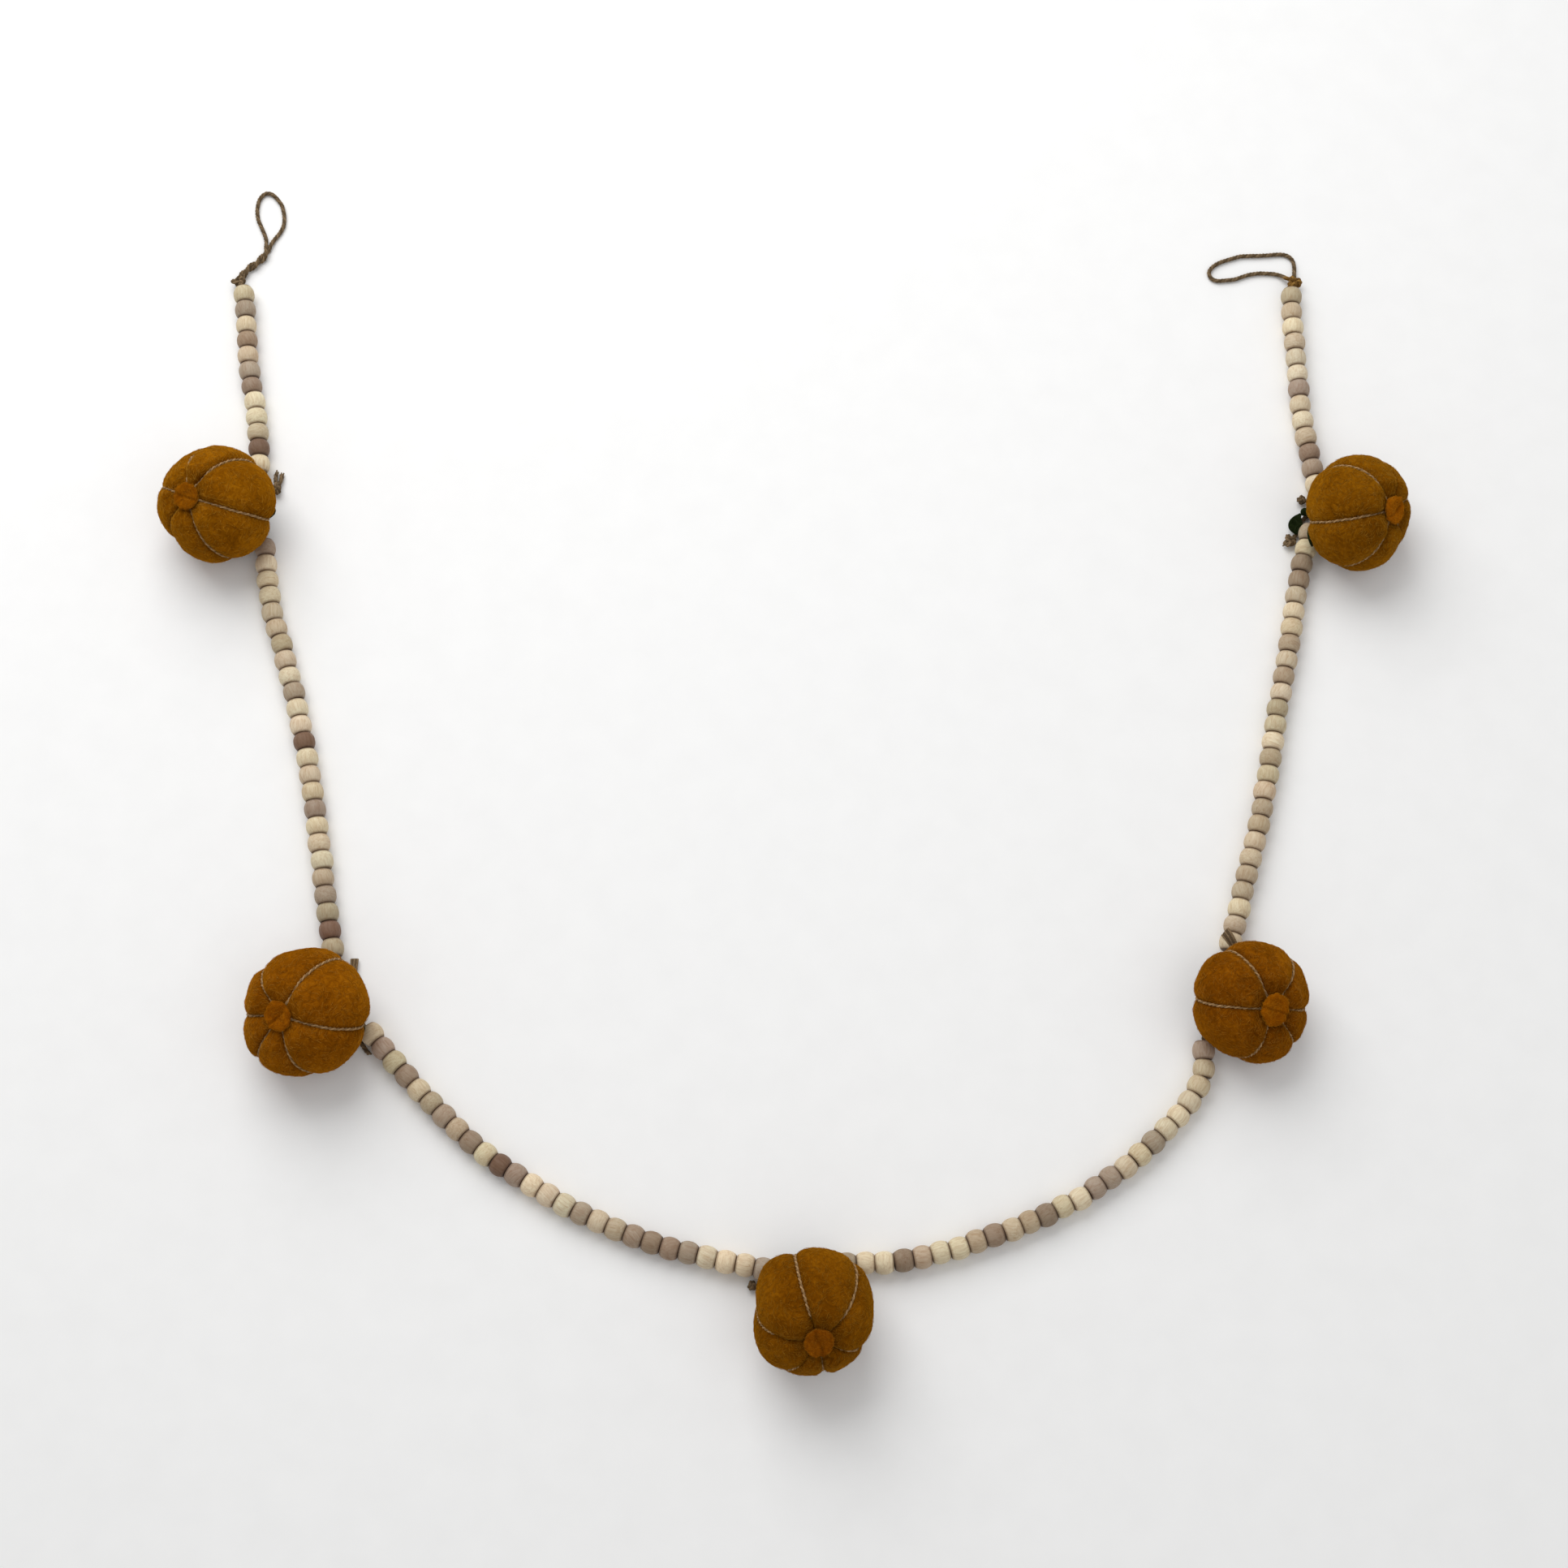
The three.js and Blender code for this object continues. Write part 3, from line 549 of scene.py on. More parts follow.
def felt_finish(name, deep, body, bright, hair, sheen, tint):
    """Felted wool: matted fibres in swirls, mottled, with painted shade darkening its creases."""
    f = Finish(name)
    place = f.place()
    swirl = f.noise(place, 190, 6, 0.72, 1.8)
    strokes = f.noise(f.place((1, 3.4, 1.2)), 230, 4, 0.75, 3.2, "RIDGED_MULTIFRACTAL")
    strays = f.noise(f.place((3.2, 1, 1.6)), 260, 4, 0.75, 2.6, "RIDGED_MULTIFRACTAL")
    hairs = f.math("MAXIMUM", strokes, strays)
    cloud = f.noise(place, 46, 3, 0.55, 0.4)
    specks = f.noise(place, 1500, 2, 0.6)
    tone = f.ramp(f.math("ADD", f.math("MULTIPLY", swirl, 0.65), f.math("MULTIPLY", cloud, 0.35)),
                  [(0.32, deep), (0.5, body), (0.68, bright)])
    colour = f.mix(f.span(hairs, 0.9, 1.7, 0, 0.75), tone, bright)
    colour = f.mix(f.span(specks, 0.58, 0.8, 0, 0.4), colour, deep)
    # Painted shade: the wool is darkened towards a deeper brown in its creases, along the seams and round the
    # hub.
    colour = f.mix(f.span(f.value("drawn_in"), 0, 1, 0, 0.62), colour, tuple(0.42 * c for c in deep))
    colour = f.mix(f.span(f.value("loose"), 0, 1, 0, 0.8), colour, hair)
    # Painted light and shade: the cast brightens or darkens a pumpkin's whole wool; on a button it is the
    # button's own tone.
    colour = f.mix(1.0, colour, f.value("cast", "Vector"), "MULTIPLY")
    bumpy = f.bump(hairs, 0.5, 0.0006)
    bumpy = f.bump(swirl, 0.7, 0.0012, Normal=bumpy)
    return f.done(colour, 0.95, bumpy, sheen, 0.0, tint)


def wood_finish():
    """Raw wood: each bead has its own tone, grain lines and pores, and painted shade on its ends where beads
    meet.
    """
    f = Finish("bead_wood")
    tint = f.value("tint", "Vector")
    long_grain = f.noise(f.place((0.09, 1.0, 1.0), "grain"), 0.85, 4, 0.62, 0.7)
    fine_grain = f.noise(f.place((0.14, 1.6, 1.6), "grain"), 2.4, 3, 0.7, 0.3)
    blotch = f.noise(f.place((1, 1, 1), "grain"), 0.16, 2, 0.5, 0.5)
    pores = f.noise(f.place((0.3, 2.4, 2.4), "grain"), 2.2, 2, 0.6)
    colour = f.mix(f.span(long_grain, 0.42, 0.72, 0, 0.55), tint, (0.6, 0.42, 0.26), "MULTIPLY")
    colour = f.mix(f.span(fine_grain, 0.5, 0.75, 0, 0.3), colour, (0.62, 0.47, 0.32), "MULTIPLY")
    colour = f.mix(f.span(blotch, 0.35, 0.7, 0, 0.4), colour, (0.78, 0.66, 0.6), "MULTIPLY")
    colour = f.mix(f.span(pores, 0.66, 0.75, 0, 0.5), colour, (0.1, 0.06, 0.03))
    # Painted shade: each bead is darkened towards its ends, where it meets the next bead.
    colour = f.mix(f.span(f.value("rim"), 0.74, 1.0, 0, 0.95), colour, (0.28, 0.2, 0.15), "MULTIPLY")
    bumpy = f.bump(fine_grain, 0.25, 0.0004)
    rough = f.span(long_grain, 0.3, 0.7, 0.52, 0.7)
    return f.done(colour, rough, bumpy, 0.05, 0.35)


def cord_finish(name, deep, body, bright):
    """Spun twine: plies of differing tone and streaks along the fibres; the darker plies are partly the
    plies' own tone and partly painted shade for the crevices between them.
    """
    f = Finish(name)
    place = f.place()
    streaks = f.noise(place, 1300, 4, 0.7, 1.2)
    patches = f.noise(place, 130, 2, 0.5)
    tone = f.ramp(streaks, [(0.3, deep), (0.52, body), (0.72, bright)])
    colour = f.mix(f.span(patches, 0.35, 0.7, 0, 0.4), tone, body)
    # Some plies are darkened: partly their own tone, partly painted shade for the crevices between the plies.
    colour = f.mix(f.span(f.value("tone"), 0, 1, 0, 0.7), colour, deep)
    colour = f.mix(f.span(f.value("loose"), 0, 1, 0, 0.5), colour, bright)
    bumpy = f.bump(streaks, 0.7, 0.0004)
    return f.done(colour, 0.9, bumpy, 0.15, 0.05, bright)


WOOL = felt_finish("orange_felt", (0.085, 0.026, 0.0006), (0.19, 0.066, 0.0012), (0.34, 0.135, 0.004),
                   (0.5, 0.25, 0.03), 0.25, (0.9, 0.42, 0.02))
BUTTON_WOOL = felt_finish("button_felt", (0.11, 0.028, 0.0006), (0.22, 0.068, 0.0012), (0.37, 0.13, 0.003),
                          (0.55, 0.24, 0.02), 0.3, (0.95, 0.42, 0.02))
GREEN_WOOL = felt_finish("green_felt", (0.003, 0.005, 0.0015), (0.009, 0.014, 0.004), (0.025, 0.035, 0.012),
                         (0.04, 0.05, 0.02), 0.2, (0.4, 0.5, 0.3))
PLAIN_FELT = {"drawn_in": 0.0, "loose": 0.0, "cast": (1.0, 1.0, 1.0)}
WOOD = wood_finish()
CORD_FIBRE = cord_finish("cord", (0.06, 0.038, 0.019), (0.23, 0.155, 0.085), (0.42, 0.32, 0.2))
AMBER_FIBRE = cord_finish("amber_cord", (0.09, 0.04, 0.01), (0.3, 0.16, 0.04), (0.5, 0.3, 0.09))
TWINE_FIBRE = cord_finish("twine", (0.18, 0.1, 0.04), (0.43, 0.26, 0.12), (0.66, 0.45, 0.24))


def make_camera():
    """The camera looks at the middle of the U from the photograph's side and height."""
    data = bpy.data.cameras.new("camera")
    data.sensor_width = SENSOR
    data.lens = SENSOR * FOCAL_PIXELS / IMAGE
    camera = bpy.data.objects.new("camera", data)
    tilt = math.radians(ELEVATION)
    target = metres([0, 0, 0])
    camera.location = target + np.array([0, -math.cos(tilt), math.sin(tilt)]) * DISTANCE * MM
    camera.rotation_euler = (math.radians(90 - ELEVATION), 0, 0)
    bpy.context.scene.collection.objects.link(camera)
    bpy.context.scene.camera = camera


def lay_cord(shape, line, sides=7, thicker=1.0):
    """The garland's own cord along a line."""
    twist(shape, line, CORD["radius"] * thicker, CORD["plies"], CORD["lay"], sides, loose=0.0)


def knot(shape, at, size, turn):
    """A small tight overhand knot of twisted cord, filling an egg of the given half sizes."""
    t = np.linspace(0, 2 * np.pi, 72)
    trefoil = np.stack([np.sin(t) + 2 * np.sin(2 * t), np.cos(t) - 2 * np.cos(2 * t), -np.sin(3 * t)], 1) / 3
    room = np.maximum(np.array(size) - 0.95 * CORD["radius"], 0.6)
    heading = math.radians(turn)
    spun = trefoil @ [compass(heading), compass(heading + math.pi / 2), [0, 0, 1]]
    line = np.array(at) + spun * room * [1, 1, 1.5]
    line[:, 2] = np.maximum(line[:, 2], CORD["radius"] + 0.15)
    lay_cord(shape, line, 6, 1.2)
    core = np.array(at) + np.array([[0, 0, -0.6], [0, 0, 0], [0, 0, 0.6]])
    tube(shape, core, 0.5 * min(size), 10, tone=0.8, loose=0.0)


def cord_fuzz(shape, line, count, rng):
    """Stray jute hairs along a cord, clear of the ground."""
    _, side, up = frames_along(line)
    pick = rng.integers(0, len(line), count)
    angle = rng.uniform(0, 2 * np.pi, count)[:, None]
    out = np.cos(angle) * side[pick] + np.sin(angle) * up[pick]
    roots = line[pick] + out * CORD["radius"] * 0.92
    clear = roots[:, 2] > 0.35
    fibres(shape, roots[clear], out[clear], CORD_FIBRES["shape"], rng, loose=1.0, tone=0.5)


def strand_line(strand):
    """The cord through a strand's beads."""
    return curve_through([[x, y, BEAD_HEIGHT] for x, y in strand["route"]], 0.5)


def strand_end(strand, at_end, distance):
    """A point on the cord beyond a strand's end bead, or inside it for a distance below zero."""
    line = strand_line(strand)
    along = strand["start"] + (strand["beads"] * strand["pitch"] if at_end else 0)
    here, inside = at_distance(line, np.array([along, along + (-2 if at_end else 2)]))
    return here + unit(here - inside) * distance


def cord_into(strand, at_end):
    """The points of a cord that comes to a strand's end bead and goes into its hole."""
    return [strand_end(strand, at_end, CORD[key]) for key in ("past_bead", "at_bead", "into_bead")]


def make_loop(name, row, line, finish, strand, at_end):
    """A hanging loop: one cord from its knot and back to it. From the knot it goes into the end bead."""
    rng = np.random.default_rng(row["seed"])
    shape = Shape()
    lay_cord(shape, line)
    cord_fuzz(shape, line, CORD_FIBRES["loop"], rng)
    piece = shape.build(name, CORD_FIBRE, "cord", [name])
    lump = Shape()
    knot(lump, row["knot"], row["knot_size"], row["turn"])
    bead = cord_into(strand, at_end)[1:]
    tuck = curve_through([line[-3], line[-1], row["knot"], *bead], 0.6)
    lay_cord(lump, tuck, 6)
    knot_piece = lump.build(name + "_knot", finish, "cord")


def left_loop_line():
    """Up one leg of the twisted stem, round the loop, and down the other leg."""
    stem = curve_through(LOOP_LEFT["stem"], 1.5)
    _, side, up = frames_along(stem)
    angle = 2 * np.pi * LOOP_STEM["turns_per_mm"] * distances(stem)
    leg = LOOP_STEM["offset"] * (np.cos(angle)[:, None] * side + np.sin(angle)[:, None] * up)
    rise = stem + leg
    fall = stem - leg
    loop = LOOP_LEFT["loop"]
    if np.linalg.norm(rise[-1] - loop[0]) > np.linalg.norm(fall[-1] - loop[0]):
        rise, fall = fall, rise
    return curve_through(np.vstack([rise[:-2], loop, fall[:-2][::-1]]), 0.8)


make_camera()
make_loop("hanging_loop_left", LOOP_LEFT, left_loop_line(), CORD_FIBRE, STRANDS[0], False)
make_loop("hanging_loop_right", LOOP_RIGHT, curve_through(LOOP_RIGHT["loop"], 0.8), AMBER_FIBRE, STRANDS[-1],
          True)


def bead_outline():
    """A bead's section, from its hole over the flat end and the drum to the other hole: share of the half
    length, share of the radius."""
    flat, corner = BEAD["flat"], BEAD["corner"]
    hole = BEAD["hole"] / BEAD["radius"]
    upper = []
    shoulder = 1 - BEAD["drum"] * (1 - corner) ** BEAD["power"]
    for share in np.linspace(0, 1 - corner, 8):
        upper.append((share, 1 - BEAD["drum"] * share ** BEAD["power"]))
    for angle in np.radians([30, 60, 90]):
        upper.append((1 - corner + corner * math.sin(angle), flat + (shoulder - flat) * math.cos(angle)))
    upper.append((1.0, (flat + hole) / 2 + 0.05))
    upper.append((0.98, hole))
    lower = [(-share, wide) for share, wide in upper[:0:-1]]
    return np.array(lower + upper)


def make_strand(number, strand, rng):
    """The beads of one strand as one mesh, each turned, sized and toned a little differently."""
    shape = Shape()
    line = strand_line(strand)
    outline = bead_outline()
    angle = 2 * np.pi * np.arange(BEAD["sides"]) / BEAD["sides"]
    marked = {bead: tone for tone, rows in MARKED_BEADS.items() for bead in rows.get(number, [])}
    joints = strand["start"] + strand["pitch"] * np.arange(strand["beads"] + 1.0)
    joints[1:-1] += rng.uniform(-JOINT_PLAY, JOINT_PLAY, strand["beads"] - 1)
    for bead in range(strand["beads"]):
        middle = (joints[bead] + joints[bead + 1]) / 2
        ends = at_distance(line, np.array([middle - 2, middle + 2]))
        centre = at_distance(line, np.array([middle]))[0]
        along = unit(ends[1] - ends[0] + rng.normal(0, 0.07, 3) * [1, 1, 0.6])
        side = unit(np.cross(along, [0, 0, 1]))
        up = np.cross(side, along)
        radius = BEAD["radius"] * rng.uniform(0.965, 1.01)
        half = (joints[bead + 1] - joints[bead]) / 2 * rng.uniform(0.98, 0.995)
        centre = centre + side * rng.normal(0, 0.22) + [0, 0, radius * 1.016 - BEAD_HEIGHT]
        oval = 1 + rng.uniform(-0.015, 0.015) * np.cos(2 * angle + rng.uniform(0, 6.3))
        wide = outline[:, 1][:, None] * radius * oval[None]
        reach = np.broadcast_to((outline[:, 0] * half)[:, None], wide.shape)
        local = np.stack([reach, wide * np.cos(angle), wide * np.sin(angle)], axis=-1)
        points = centre + local[..., :1] * along + local[..., 1:2] * side + local[..., 2:] * up
        rows, columns = wide.shape
        tone = marked.get(bead) or COMMON_TONES[rng.integers(len(COMMON_TONES))]
        tint = np.array(WOOD_TONES[tone]) * rng.uniform(0.9, 1.1) * rng.uniform(0.97, 1.03, 3)
        grain = local.reshape(-1, 3) @ grain_turn(rng).T + rng.uniform(-400, 400, 3)
        shape.add(points, [grid_faces(rows, columns, True)], tint=tint, grain=grain,
                  rim=np.repeat(np.abs(outline[:, 0]), columns))
    return shape.build(f"beads_{number}", WOOD, "wood", [f"bead_strand_{number}"])


def grain_turn(rng):
    """How the grain lies in a bead: mostly along its hole, a little askew."""
    tilt, roll = rng.normal(0, 0.25), rng.uniform(0, 2 * np.pi)
    if rng.random() < 0.25:
        tilt += np.pi / 2
    lean = np.stack([compass(tilt), compass(tilt + math.pi / 2), [0, 0, 1]], axis=1)
    spin = np.array([[1, 0, 0], [0, math.cos(roll), -math.sin(roll)], [0, math.sin(roll), math.cos(roll)]])
    return lean @ spin


beads_rng = np.random.default_rng(7)
for number, strand in enumerate(STRANDS, 1):
    make_strand(number, strand, beads_rng)


def ball_point(pumpkin, theta, heading, groove, lift=0.0):
    """A point of a pumpkin about its own axis, for an angle from the blossom end and a heading."""
    theta = np.asarray(theta, float)
    width = LOBE["dimple_width"]
    wide = pumpkin["radius"] * np.maximum(np.sin(theta), 0) ** LOBE["bulge"]
    dimples = LOBE["dimple"] * (hump(np.pi - theta, width) - hump(theta, width))
    tall = pumpkin["height"] * np.cos(theta) + dimples
    inward = LOBE["depth"] * groove * np.minimum(wide / LOBE["full_at"], 1) - lift
    out = np.maximum(wide - inward * np.sin(theta), 0)
    return np.stack(np.broadcast_arrays(out * np.cos(heading), out * np.sin(heading),
                                        tall - inward * np.cos(theta)), axis=-1)


def turn_of(pumpkin):
    """The turn that leans a pumpkin's axis."""
    tilt, lean = math.radians(pumpkin["tilt"]), math.radians(pumpkin["lean"])
    axis = Vector((math.sin(tilt) * math.cos(lean), math.sin(tilt) * math.sin(lean), math.cos(tilt)))
    return np.array(Vector((0, 0, 1)).rotation_difference(axis).to_matrix())


def lobe_columns(pumpkin, per_lobe, crowding=0.0):
    """The headings of the columns round a pumpkin, and each one's share of the way across its lobe."""
    share = np.arange(per_lobe) / per_lobe
    share = (1 - crowding) * share + crowding * (0.5 - 0.5 * np.cos(np.pi * share))
    starts = np.array([lace[0] for lace in pumpkin["laces"]], float)
    widths = np.diff(np.append(starts, starts[0] + 360))
    heading = np.radians(starts[:, None] + widths[:, None] * share).ravel()
    return heading, np.tile(share, len(starts))


def lobe_share(pumpkin, heading):
    """The depth of the groove nearest to a heading, and the heading's share of the way across its lobe."""
    starts = np.array([lace[0] for lace in pumpkin["laces"]], float)
    depths = np.array([lace[1] for lace in pumpkin["laces"]], float)
    edges = np.append(starts - starts[0], 360)
    turned = (np.degrees(heading) - starts[0]) % 360
    lobe = np.clip(np.searchsorted(edges, turned, side="right") - 1, 0, len(starts) - 1)
    share = (turned - edges[lobe]) / np.diff(edges)[lobe]
    return depths[np.where(share < 0.5, lobe, (lobe + 1) % len(starts))], share


def groove_at(pumpkin, heading):
    """How deep the felt is drawn in at a heading, as a share of the full depth."""
    depth, share = lobe_share(pumpkin, heading)
    return depth * (1 - np.sin(np.pi * share)) ** FELT["sharp"]


def centre_of(pumpkin):
    """Where a pumpkin's middle lies when it rests on its flat spot, found on the coarse solid ball."""
    heading, share = lobe_columns(pumpkin, COARSE["columns"])
    theta = np.pi * np.arange(COARSE["rows"] + 1)[:, None] / COARSE["rows"]
    groove = (1 - np.sin(np.pi * share)) ** COARSE["sharp"]
    low = (ball_point(pumpkin, theta, heading, groove) @ turn_of(pumpkin).T)[..., 2].min()
    return np.array([pumpkin["x"], pumpkin["y"], -low - COARSE["flat_spot"]])


def stand(number, local):
    """Takes points about a pumpkin's own axis to where it lies, with its swellings and its pressed foot."""
    pumpkin = PUMPKINS[number - 1]
    centre = centre_of(pumpkin)
    points = np.asarray(local, float) @ turn_of(pumpkin).T
    out = unit(points)
    for degrees, amount, narrow in SWELLINGS[number - 1]:
        towards = compass(math.radians(degrees))
        points = points + towards * amount * np.maximum(out @ towards, 0)[..., None] ** narrow
    points = points + centre
    soft = 0.5
    points[..., 2] = (points[..., 2] + np.sqrt(points[..., 2] ** 2 + soft**2)) / 2
    return points


def relief(kind, rings, seed):
    """How far a kind of relief lifts the felt at each point of the rings."""
    size, height = RELIEF[kind]
    return height * soft_noise(rings.reshape(-1, 3), size, seed).reshape(rings.shape[:2])


def make_pumpkin(number, pumpkin, rng):
    """The stuffed felt ball: six full lobes, gathered where the twine draws them in, with loose fibres."""
    heading, share = lobe_columns(pumpkin, FELT["columns"], 0.6)
    theta = np.pi * (np.arange(FELT["rows"]) + 0.5)[:, None] / FELT["rows"]
    groove = groove_at(pumpkin, heading)
    base = ball_point(pumpkin, theta, heading, groove)
    rise = FELT["rise"] * (1 - groove) * hump(theta - FELT["rise_at"], FELT["rise_width"])
    depth, _ = lobe_share(pumpkin, heading)
    from_seam = np.minimum(share, 1 - share)
    crease = depth * hump(from_seam, CREASE_WIDTH)
    swell = rise + relief("lumps", base, number) * (1 - crease) + relief("matting", base, number + 10)
    swell = swell + crease * relief("gathers", base * [1, 1, 3.0], number + 20)
    local = base + unit(base) * swell[..., None]
    points = stand(number, local)
    # Painted shade along each seam and round the hub, where the felt is drawn in.
    seam = SHADED["seam"] * depth * hump(from_seam, SHADED["seam_width"])
    drawn_in = np.maximum(seam, hump(theta, SHADED["hub_width"]))
    shape = Shape()
    rows, columns = points.shape[:2]
    closed, faces = capped(points)
    cast = pumpkin["cast"]
    shape.add(closed, faces, drawn_in=np.append(drawn_in.ravel(), [1, 1]), loose=0.0, cast=cast)
    pick = rng.integers(0, rows * columns, BALL_FIBRES["count"])
    flat_points = points.reshape(-1, 3)
    across = np.roll(points, -1, axis=1) - np.roll(points, 1, axis=1)
    down = np.gradient(points, axis=0)
    normals = unit(np.cross(across, down)).reshape(-1, 3)
    middle = centre_of(pumpkin)
    normals *= np.sign(np.einsum("ij,ij->i", normals, flat_points - middle))[:, None]
    keep = pick[(flat_points[pick, 2] > 1.5) & (drawn_in.ravel()[pick] < 0.5)]
    fibres(shape, flat_points[keep], normals[keep], BALL_FIBRES["shape"], rng, drawn_in=0.0, loose=1.0,
           cast=cast)
    piece = shape.build(f"felt_{number}", WOOL, "orange_felt", [f"pumpkin_{number}"])


def past_angle(angle, other, blur=0.03):
    """Goes from nothing to one where an angle passes the other."""
    return 1 / (1 + np.exp((other - angle) / blur))


def make_lacing(number, pumpkin, rng):
    """Two-ply twine pulled round in the six grooves, a little wavy, buried in the felt here and there."""
    shape = Shape()
    steps = TWINE["steps"]
    theta = np.linspace(0.1, np.pi - 0.1, steps)
    for lace, (degrees, depth, seen_from, seen_to, lower) in enumerate(pumpkin["laces"]):
        heading = math.radians(degrees)
        wander = 0.5 * soft_noise(np.stack([theta * 9, np.full(steps, lace), np.full(steps, number)], 1), 3)
        lift = TWINE["lift"] + 0.3 * soft_noise(np.stack([theta * 7, np.full(steps, lace * 3), theta], 1), 2)
        near_ends = hump(theta, 0.22) + hump(np.pi - theta, 0.22)
        lift = lift + 0.8 * near_ends - lower
        before = past_angle(seen_from, theta) if seen_from > 0 else np.zeros(steps)
        after = past_angle(theta, seen_to) * past_angle(TWINE["under"], theta, 0.06)
        lift = lift + (TWINE["sunk"] - lift) * np.maximum(before, after)
        line = ball_point(pumpkin, theta, heading, depth, lift)
        side = compass(heading + math.pi / 2)
        line = stand(number, line + wander[:, None] * side * (1 - near_ends[:, None]))
        line = evenly(line, 0.8)
        twist(shape, line, TWINE["radius"], TWINE["plies"], TWINE["lay"], 6, rng.uniform(), loose=0.0)
        hairs = TWINE_FIBRES["count"]
        roots = line[rng.integers(0, len(line), hairs)] + rng.normal(0, 0.5, (hairs, 3))
        out = unit(roots - centre_of(pumpkin))
        clear = roots[:, 2] > 2
        fibres(shape, roots[clear] + [0, 0, 0.3], out[clear], TWINE_FIBRES["shape"], rng, loose=1.0, tone=0.2)
    shape.build(f"twine_{number}", TWINE_FIBRE, "twine", [f"lacing_{number}"])


def make_button(number, pumpkin, rng):
    """The thick felt disc on the blossom end: ragged soft rim and a hollow, creased face."""
    columns, rows = BUTTON["columns"], BUTTON["rows"]
    size, sunk, cast = BUTTONS[number - 1]
    angle = 2 * np.pi * np.arange(columns) / columns
    outline = curve_through([[0.05, 0], [0.86, 0.02], [1, 0.42], [0.93, 0.86], [0.7, 1.0], [0.4, 0.86],
                             [0.02, 0.8]], 0.02)
    outline = at_distance(outline, np.linspace(0, distances(outline)[-1], rows))
    wide = outline[:, 0][:, None] * BUTTON["radius"] * size
    round_rim = np.stack([np.cos(angle) * 3, np.sin(angle) * 3, np.full(columns, number)], 1)
    ragged = soft_noise(round_rim, 1, number)
    wide = wide * (1 + BUTTON["ragged"] * ragged + 0.03 * np.cos(2 * angle + number))
    tall = np.broadcast_to(outline[:, 1][:, None] * BUTTON["thickness"], wide.shape)
    foot = pumpkin["height"] - LOBE["dimple"] + TWINE["hub_lift"] - sunk
    local = np.stack([wide * np.cos(angle), wide * np.sin(angle), tall + foot], axis=-1)
    lumpy = relief("button_lumps", local, number) + relief("button_matting", local, number + 5)
    local = local + unit(local - [0, 0, foot + 1]) * lumpy[..., None]
    turn = 1.1 * number
    off_crease = local[..., 0] * math.cos(turn) + local[..., 1] * math.sin(turn)
    bent = off_crease + 1.2 * np.sin(local[..., 1] * 0.35 + number)
    creased = hump(bent, BUTTON["crease_width"]) * (tall > 0.5 * BUTTON["thickness"])
    local[..., 2] -= creased
    points = stand(number, local)
    shape = Shape()
    closed, faces = capped(points)
    # Painted shade in the crease across the button's face.
    drawn_in = np.append((SHADED["button_crease"] * creased).ravel(), [0, 0])
    shape.add(closed, faces, drawn_in=drawn_in, loose=0.0, cast=cast)
    pick = rng.integers(columns * 3, columns * (rows - 2), BUTTON_FIBRES["count"])
    face = points.reshape(-1, 3)
    out = unit(face[pick] - face.mean(axis=0))
    fibres(shape, face[pick], out, BUTTON_FIBRES["shape"], rng, drawn_in=0.0, loose=0.8, cast=cast)
    shape.build(f"button_{number}", BUTTON_WOOL, "button_felt", [f"blossom_button_{number}"])


def make_leaf(name, heading, reach, width):
    """A felt leaf that follows the ball from beside the stem outwards."""
    number = int(name[0])
    pumpkin = PUMPKINS[number - 1]
    along, across = np.linspace(0.01, 0.99, 36), np.linspace(-1, 1, 13)
    swell = LEAF["tip_share"] + (1 - LEAF["tip_share"]) * np.sin(np.pi * along**0.9)
    swell = swell * (1 + 0.05 * np.sin(along * 31 + number))
    theta = np.pi - (LEAF["from"] + (reach - LEAF["from"]) * along)
    ring = pumpkin["radius"] * np.sin(theta) ** LOBE["bulge"]
    over = LEAF["over_twine"] * (1 - np.minimum(ring / LOBE["full_at"], 1))
    heading = math.radians(heading) - across[None] * (width * swell / ring / 2)[:, None]
    midrib = 0.25 * hump(across, 0.12)
    faces = []
    for up in (0.0, 1.0):
        lift = LEAF["lift"] + over[:, None] + LEAF["thickness"] * (0.1 + 0.8 * up) - midrib * up
        sag = LEAF["sag"] * groove_at(pumpkin, heading)
        faces.append(ball_point(pumpkin, theta[:, None], heading, sag, lift))
    local = np.concatenate([faces[0], faces[1][:, ::-1]], axis=1)
    build_leaf(name, stand(number, local))


def build_leaf(name, rings):
    """Makes a leaf's piece from its rings."""
    shape = Shape()
    points, quads = capped(rings)
    shape.add(points, quads, **PLAIN_FELT)
    piece = shape.build(f"leaf_piece_{name}", GREEN_WOOL, "green_felt", [f"leaf_{name}"])


def make_loose_leaf():
    """The leaf that stands out from under the fifth pumpkin, folded in two along its middle."""
    line = curve_through(LOOSE_LEAF["midline"], 0.35)
    _, side, up = frames_along(line)
    share = np.linspace(0.01, 0.99, len(line))
    swell = LEAF["tip_share"] + (1 - LEAF["tip_share"]) * np.sin(np.pi * share**1.3)
    half = 0.5 * LOOSE_LEAF["width"] * swell[:, None]
    across = np.linspace(-1, 1, 41)[None]
    fold = LOOSE_LEAF["fold"]
    out = 1 - 2 * (np.sqrt(across**2 + fold**2) - fold) / (math.sqrt(1 + fold**2) - fold)
    rise = LOOSE_LEAF["opening"] * np.tanh(8 * across) * (0.8 + 0.35 * np.abs(across)) * np.ones_like(half)
    slope_out, slope_up = np.gradient(half * out, axis=1), np.gradient(rise, axis=1)
    steep = np.maximum(np.hypot(slope_out, slope_up), 1e-9)
    thick = LOOSE_LEAF["half_thickness"]
    layers = []
    for face in (-1, 1):
        sideways = half * out + face * thick * slope_up / steep
        upward = rise - face * thick * slope_out / steep
        layers.append(line[:, None] + side[:, None] * sideways[..., None] + up[:, None] * upward[..., None])
    rings = np.concatenate([layers[0], layers[1][:, ::-1]], axis=1)
    build_leaf("5b", rings)


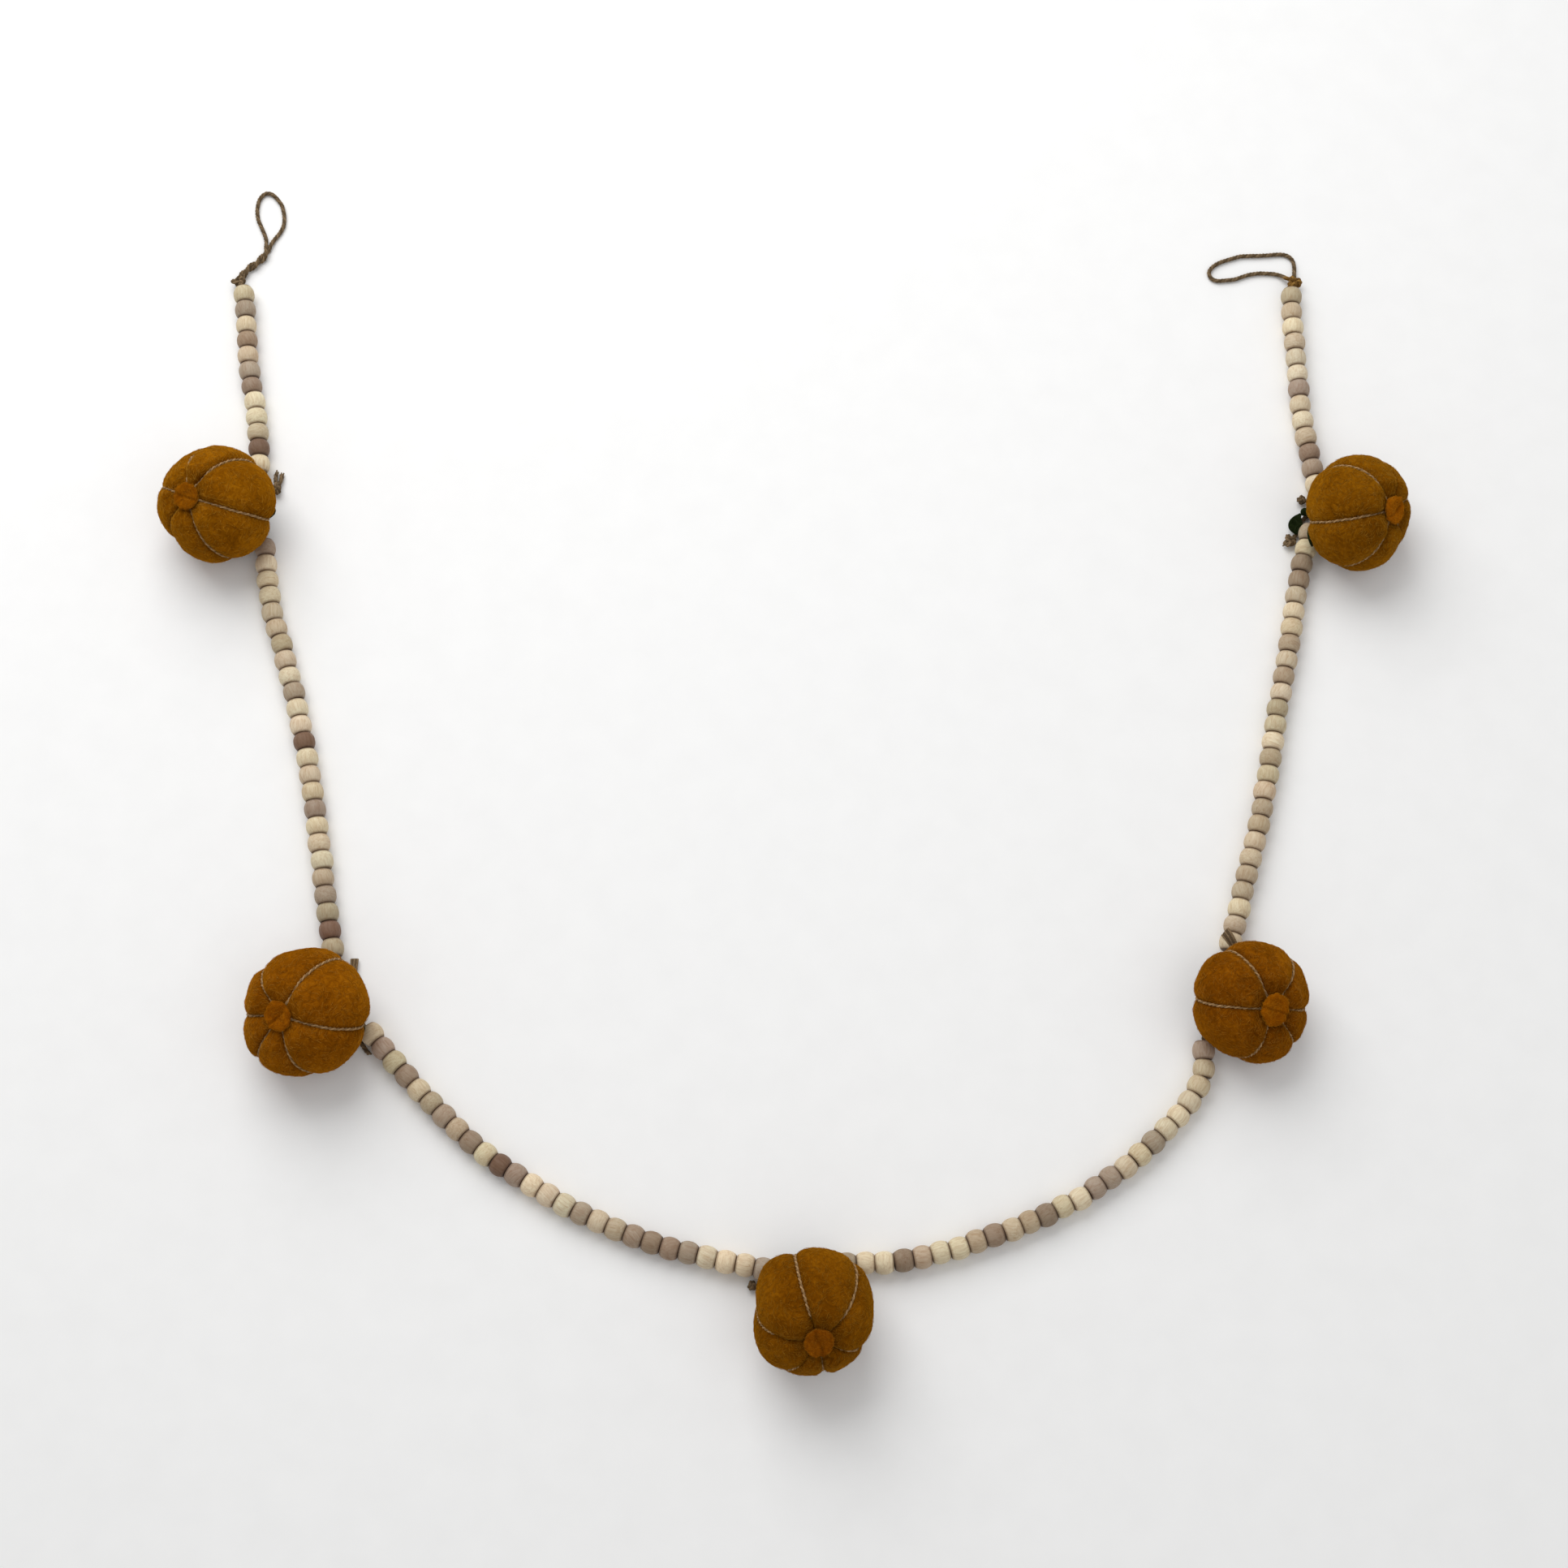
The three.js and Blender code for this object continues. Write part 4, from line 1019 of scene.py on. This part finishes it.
def make_stem(number, pumpkin):
    """The soft felt stem, bent over by the ground."""
    pole = stand(number, ball_point(pumpkin, math.pi, 0.0, 1.0, TWINE["hub_lift"])[None])[0]
    down = turn_of(pumpkin) @ np.array([0, 0, -1.0])
    end = np.array(pumpkin["stem_end"])
    bend = pole + down * (pole[2] - end[2]) / -down[2] * STEM["reach"]
    t = np.linspace(0, 1, 26)[:, None]
    line = (1 - t) ** 2 * pole + 2 * t * (1 - t) * bend + t**2 * end
    shape = Shape()
    radius = STEM["base"] + (STEM["tip"] - STEM["base"]) * t[:, 0]
    radius = radius * (1 + 0.07 * np.sin(t[:, 0] * 23 + number)) + STEM["flare"] * t[:, 0] ** 5
    tube(shape, line, radius * 0.96, 16, **PLAIN_FELT)
    shape.build(f"stem_piece_{number}", GREEN_WOOL, "green_felt", [f"stem_{number}"])


def make_tie(number, row):
    """The cord past a pumpkin, from bead to bead, with its knots and frayed ends."""
    lead = cord_into(STRANDS[number - 1], True)[::-1]
    tail = cord_into(STRANDS[number], False)
    shape = Shape()
    line = curve_through([*lead, *row["via"], *tail], 0.8)
    rng = np.random.default_rng(50 + number)
    lay_cord(shape, line)
    for points, spread in zip(row["ends"], row.get("yarns", [0] * 3)):
        end = curve_through(points, 0.6)
        if spread:
            loose_yarns(shape, end, spread)
        else:
            end = end[:-3]
            lay_cord(shape, end)
            frayed_end(shape, end, rng)
        cord_fuzz(shape, end, CORD_FIBRES["end"], rng)
    for place, (at, size) in enumerate(row["knots"]):
        knot(shape, at, size, 40 * number + 70 * place)
    shape.build(f"cord_{number}", CORD_FIBRE, "cord", [f"tie_{number}"])


def loose_yarns(shape, line, spread):
    """A cord's end that has come apart into yarns, which lie side by side and fan out."""
    _, side, _ = frames_along(line)
    share = np.linspace(0, 1, len(line))[:, None]
    for place, aside in enumerate((-1.0, -0.5, 0.0, 0.5, 1.0)):
        yarn = line + side * aside * (0.7 + (spread - 0.7) * share**0.7)
        yarn = yarn + np.array([0, 0, 0.3]) * (1 - aside**2)
        yarn[:, 2] = np.maximum(yarn[:, 2], 1.0)
        tube(shape, yarn, 0.9 - 0.15 * share[:, 0], 8, tone=(place % 2) * 0.9, loose=0.0)


def frayed_end(shape, line, rng):
    """The cut end of a cord: its yarns stand a little apart."""
    along = unit(line[-1] - line[-3])
    for yarn in range(6):
        splay = unit(rng.normal(0, 1, 3))
        start = line[-3] + splay * 0.7
        tip = line[-1] + along * rng.uniform(0.8, 1.8) + splay * 1.5
        start[2], tip[2] = max(start[2], 0.6), max(tip[2], 0.6)
        tube(shape, np.linspace(start, tip, 5), np.linspace(0.75, 0.5, 5), 6, tone=yarn / 5, loose=0.3)


felt_rng = np.random.default_rng(11)
for number, pumpkin in enumerate(PUMPKINS, 1):
    make_pumpkin(number, pumpkin, felt_rng)
    make_lacing(number, pumpkin, felt_rng)
    make_button(number, pumpkin, felt_rng)
    make_stem(number, pumpkin)
    make_tie(number, TIES[number - 1])
for name, row in LEAVES.items():
    make_leaf(name, *row)
make_loose_leaf()


def make_stage():
    """A plain pale floor and soft studio light."""
    finish = Finish("floor")
    place = finish.place()
    grain = finish.noise(place, 40, 3, 0.5)
    colour = finish.ramp(grain, [(0.3, (0.93, 0.93, 0.925)), (0.7, (0.95, 0.95, 0.945))])
    material = finish.done(colour, 0.9, finish.bump(grain, 0.05, 0.0005), 0.0, 0.2)
    mesh = bpy.data.meshes.new("floor")
    half, level = FLOOR["half"], FLOOR["level"]
    corners = [(-half, -half), (half, -half), (half, half), (-half, half)]
    mesh.from_pydata([(x, y, level) for x, y in corners], [], [(0, 1, 2, 3)])
    mesh.materials.append(material)
    floor = bpy.data.objects.new("floor", mesh)
    bpy.context.scene.collection.objects.link(floor)
    world = bpy.data.worlds.new("studio")
    bpy.context.scene.world = world
    world.use_nodes = True
    sky = world.node_tree.nodes["Background"].inputs
    sky["Color"].default_value = (1, 1, 1, 1)
    sky["Strength"].default_value = SKY_STRENGTH
    for name, (place, size, power) in LIGHTS.items():
        add_light(name, place, size, power)


def add_light(name, place, size, power):
    """A square area light that looks at the garland's middle."""
    data = bpy.data.lights.new(name, "AREA")
    data.size = size
    data.energy = power
    light = bpy.data.objects.new(name, data)
    light.location = place
    light.rotation_euler = (-Vector(place)).to_track_quat("-Z", "Y").to_euler()
    bpy.context.scene.collection.objects.link(light)


make_stage()
bpy.context.scene.view_settings.view_transform = "Standard"
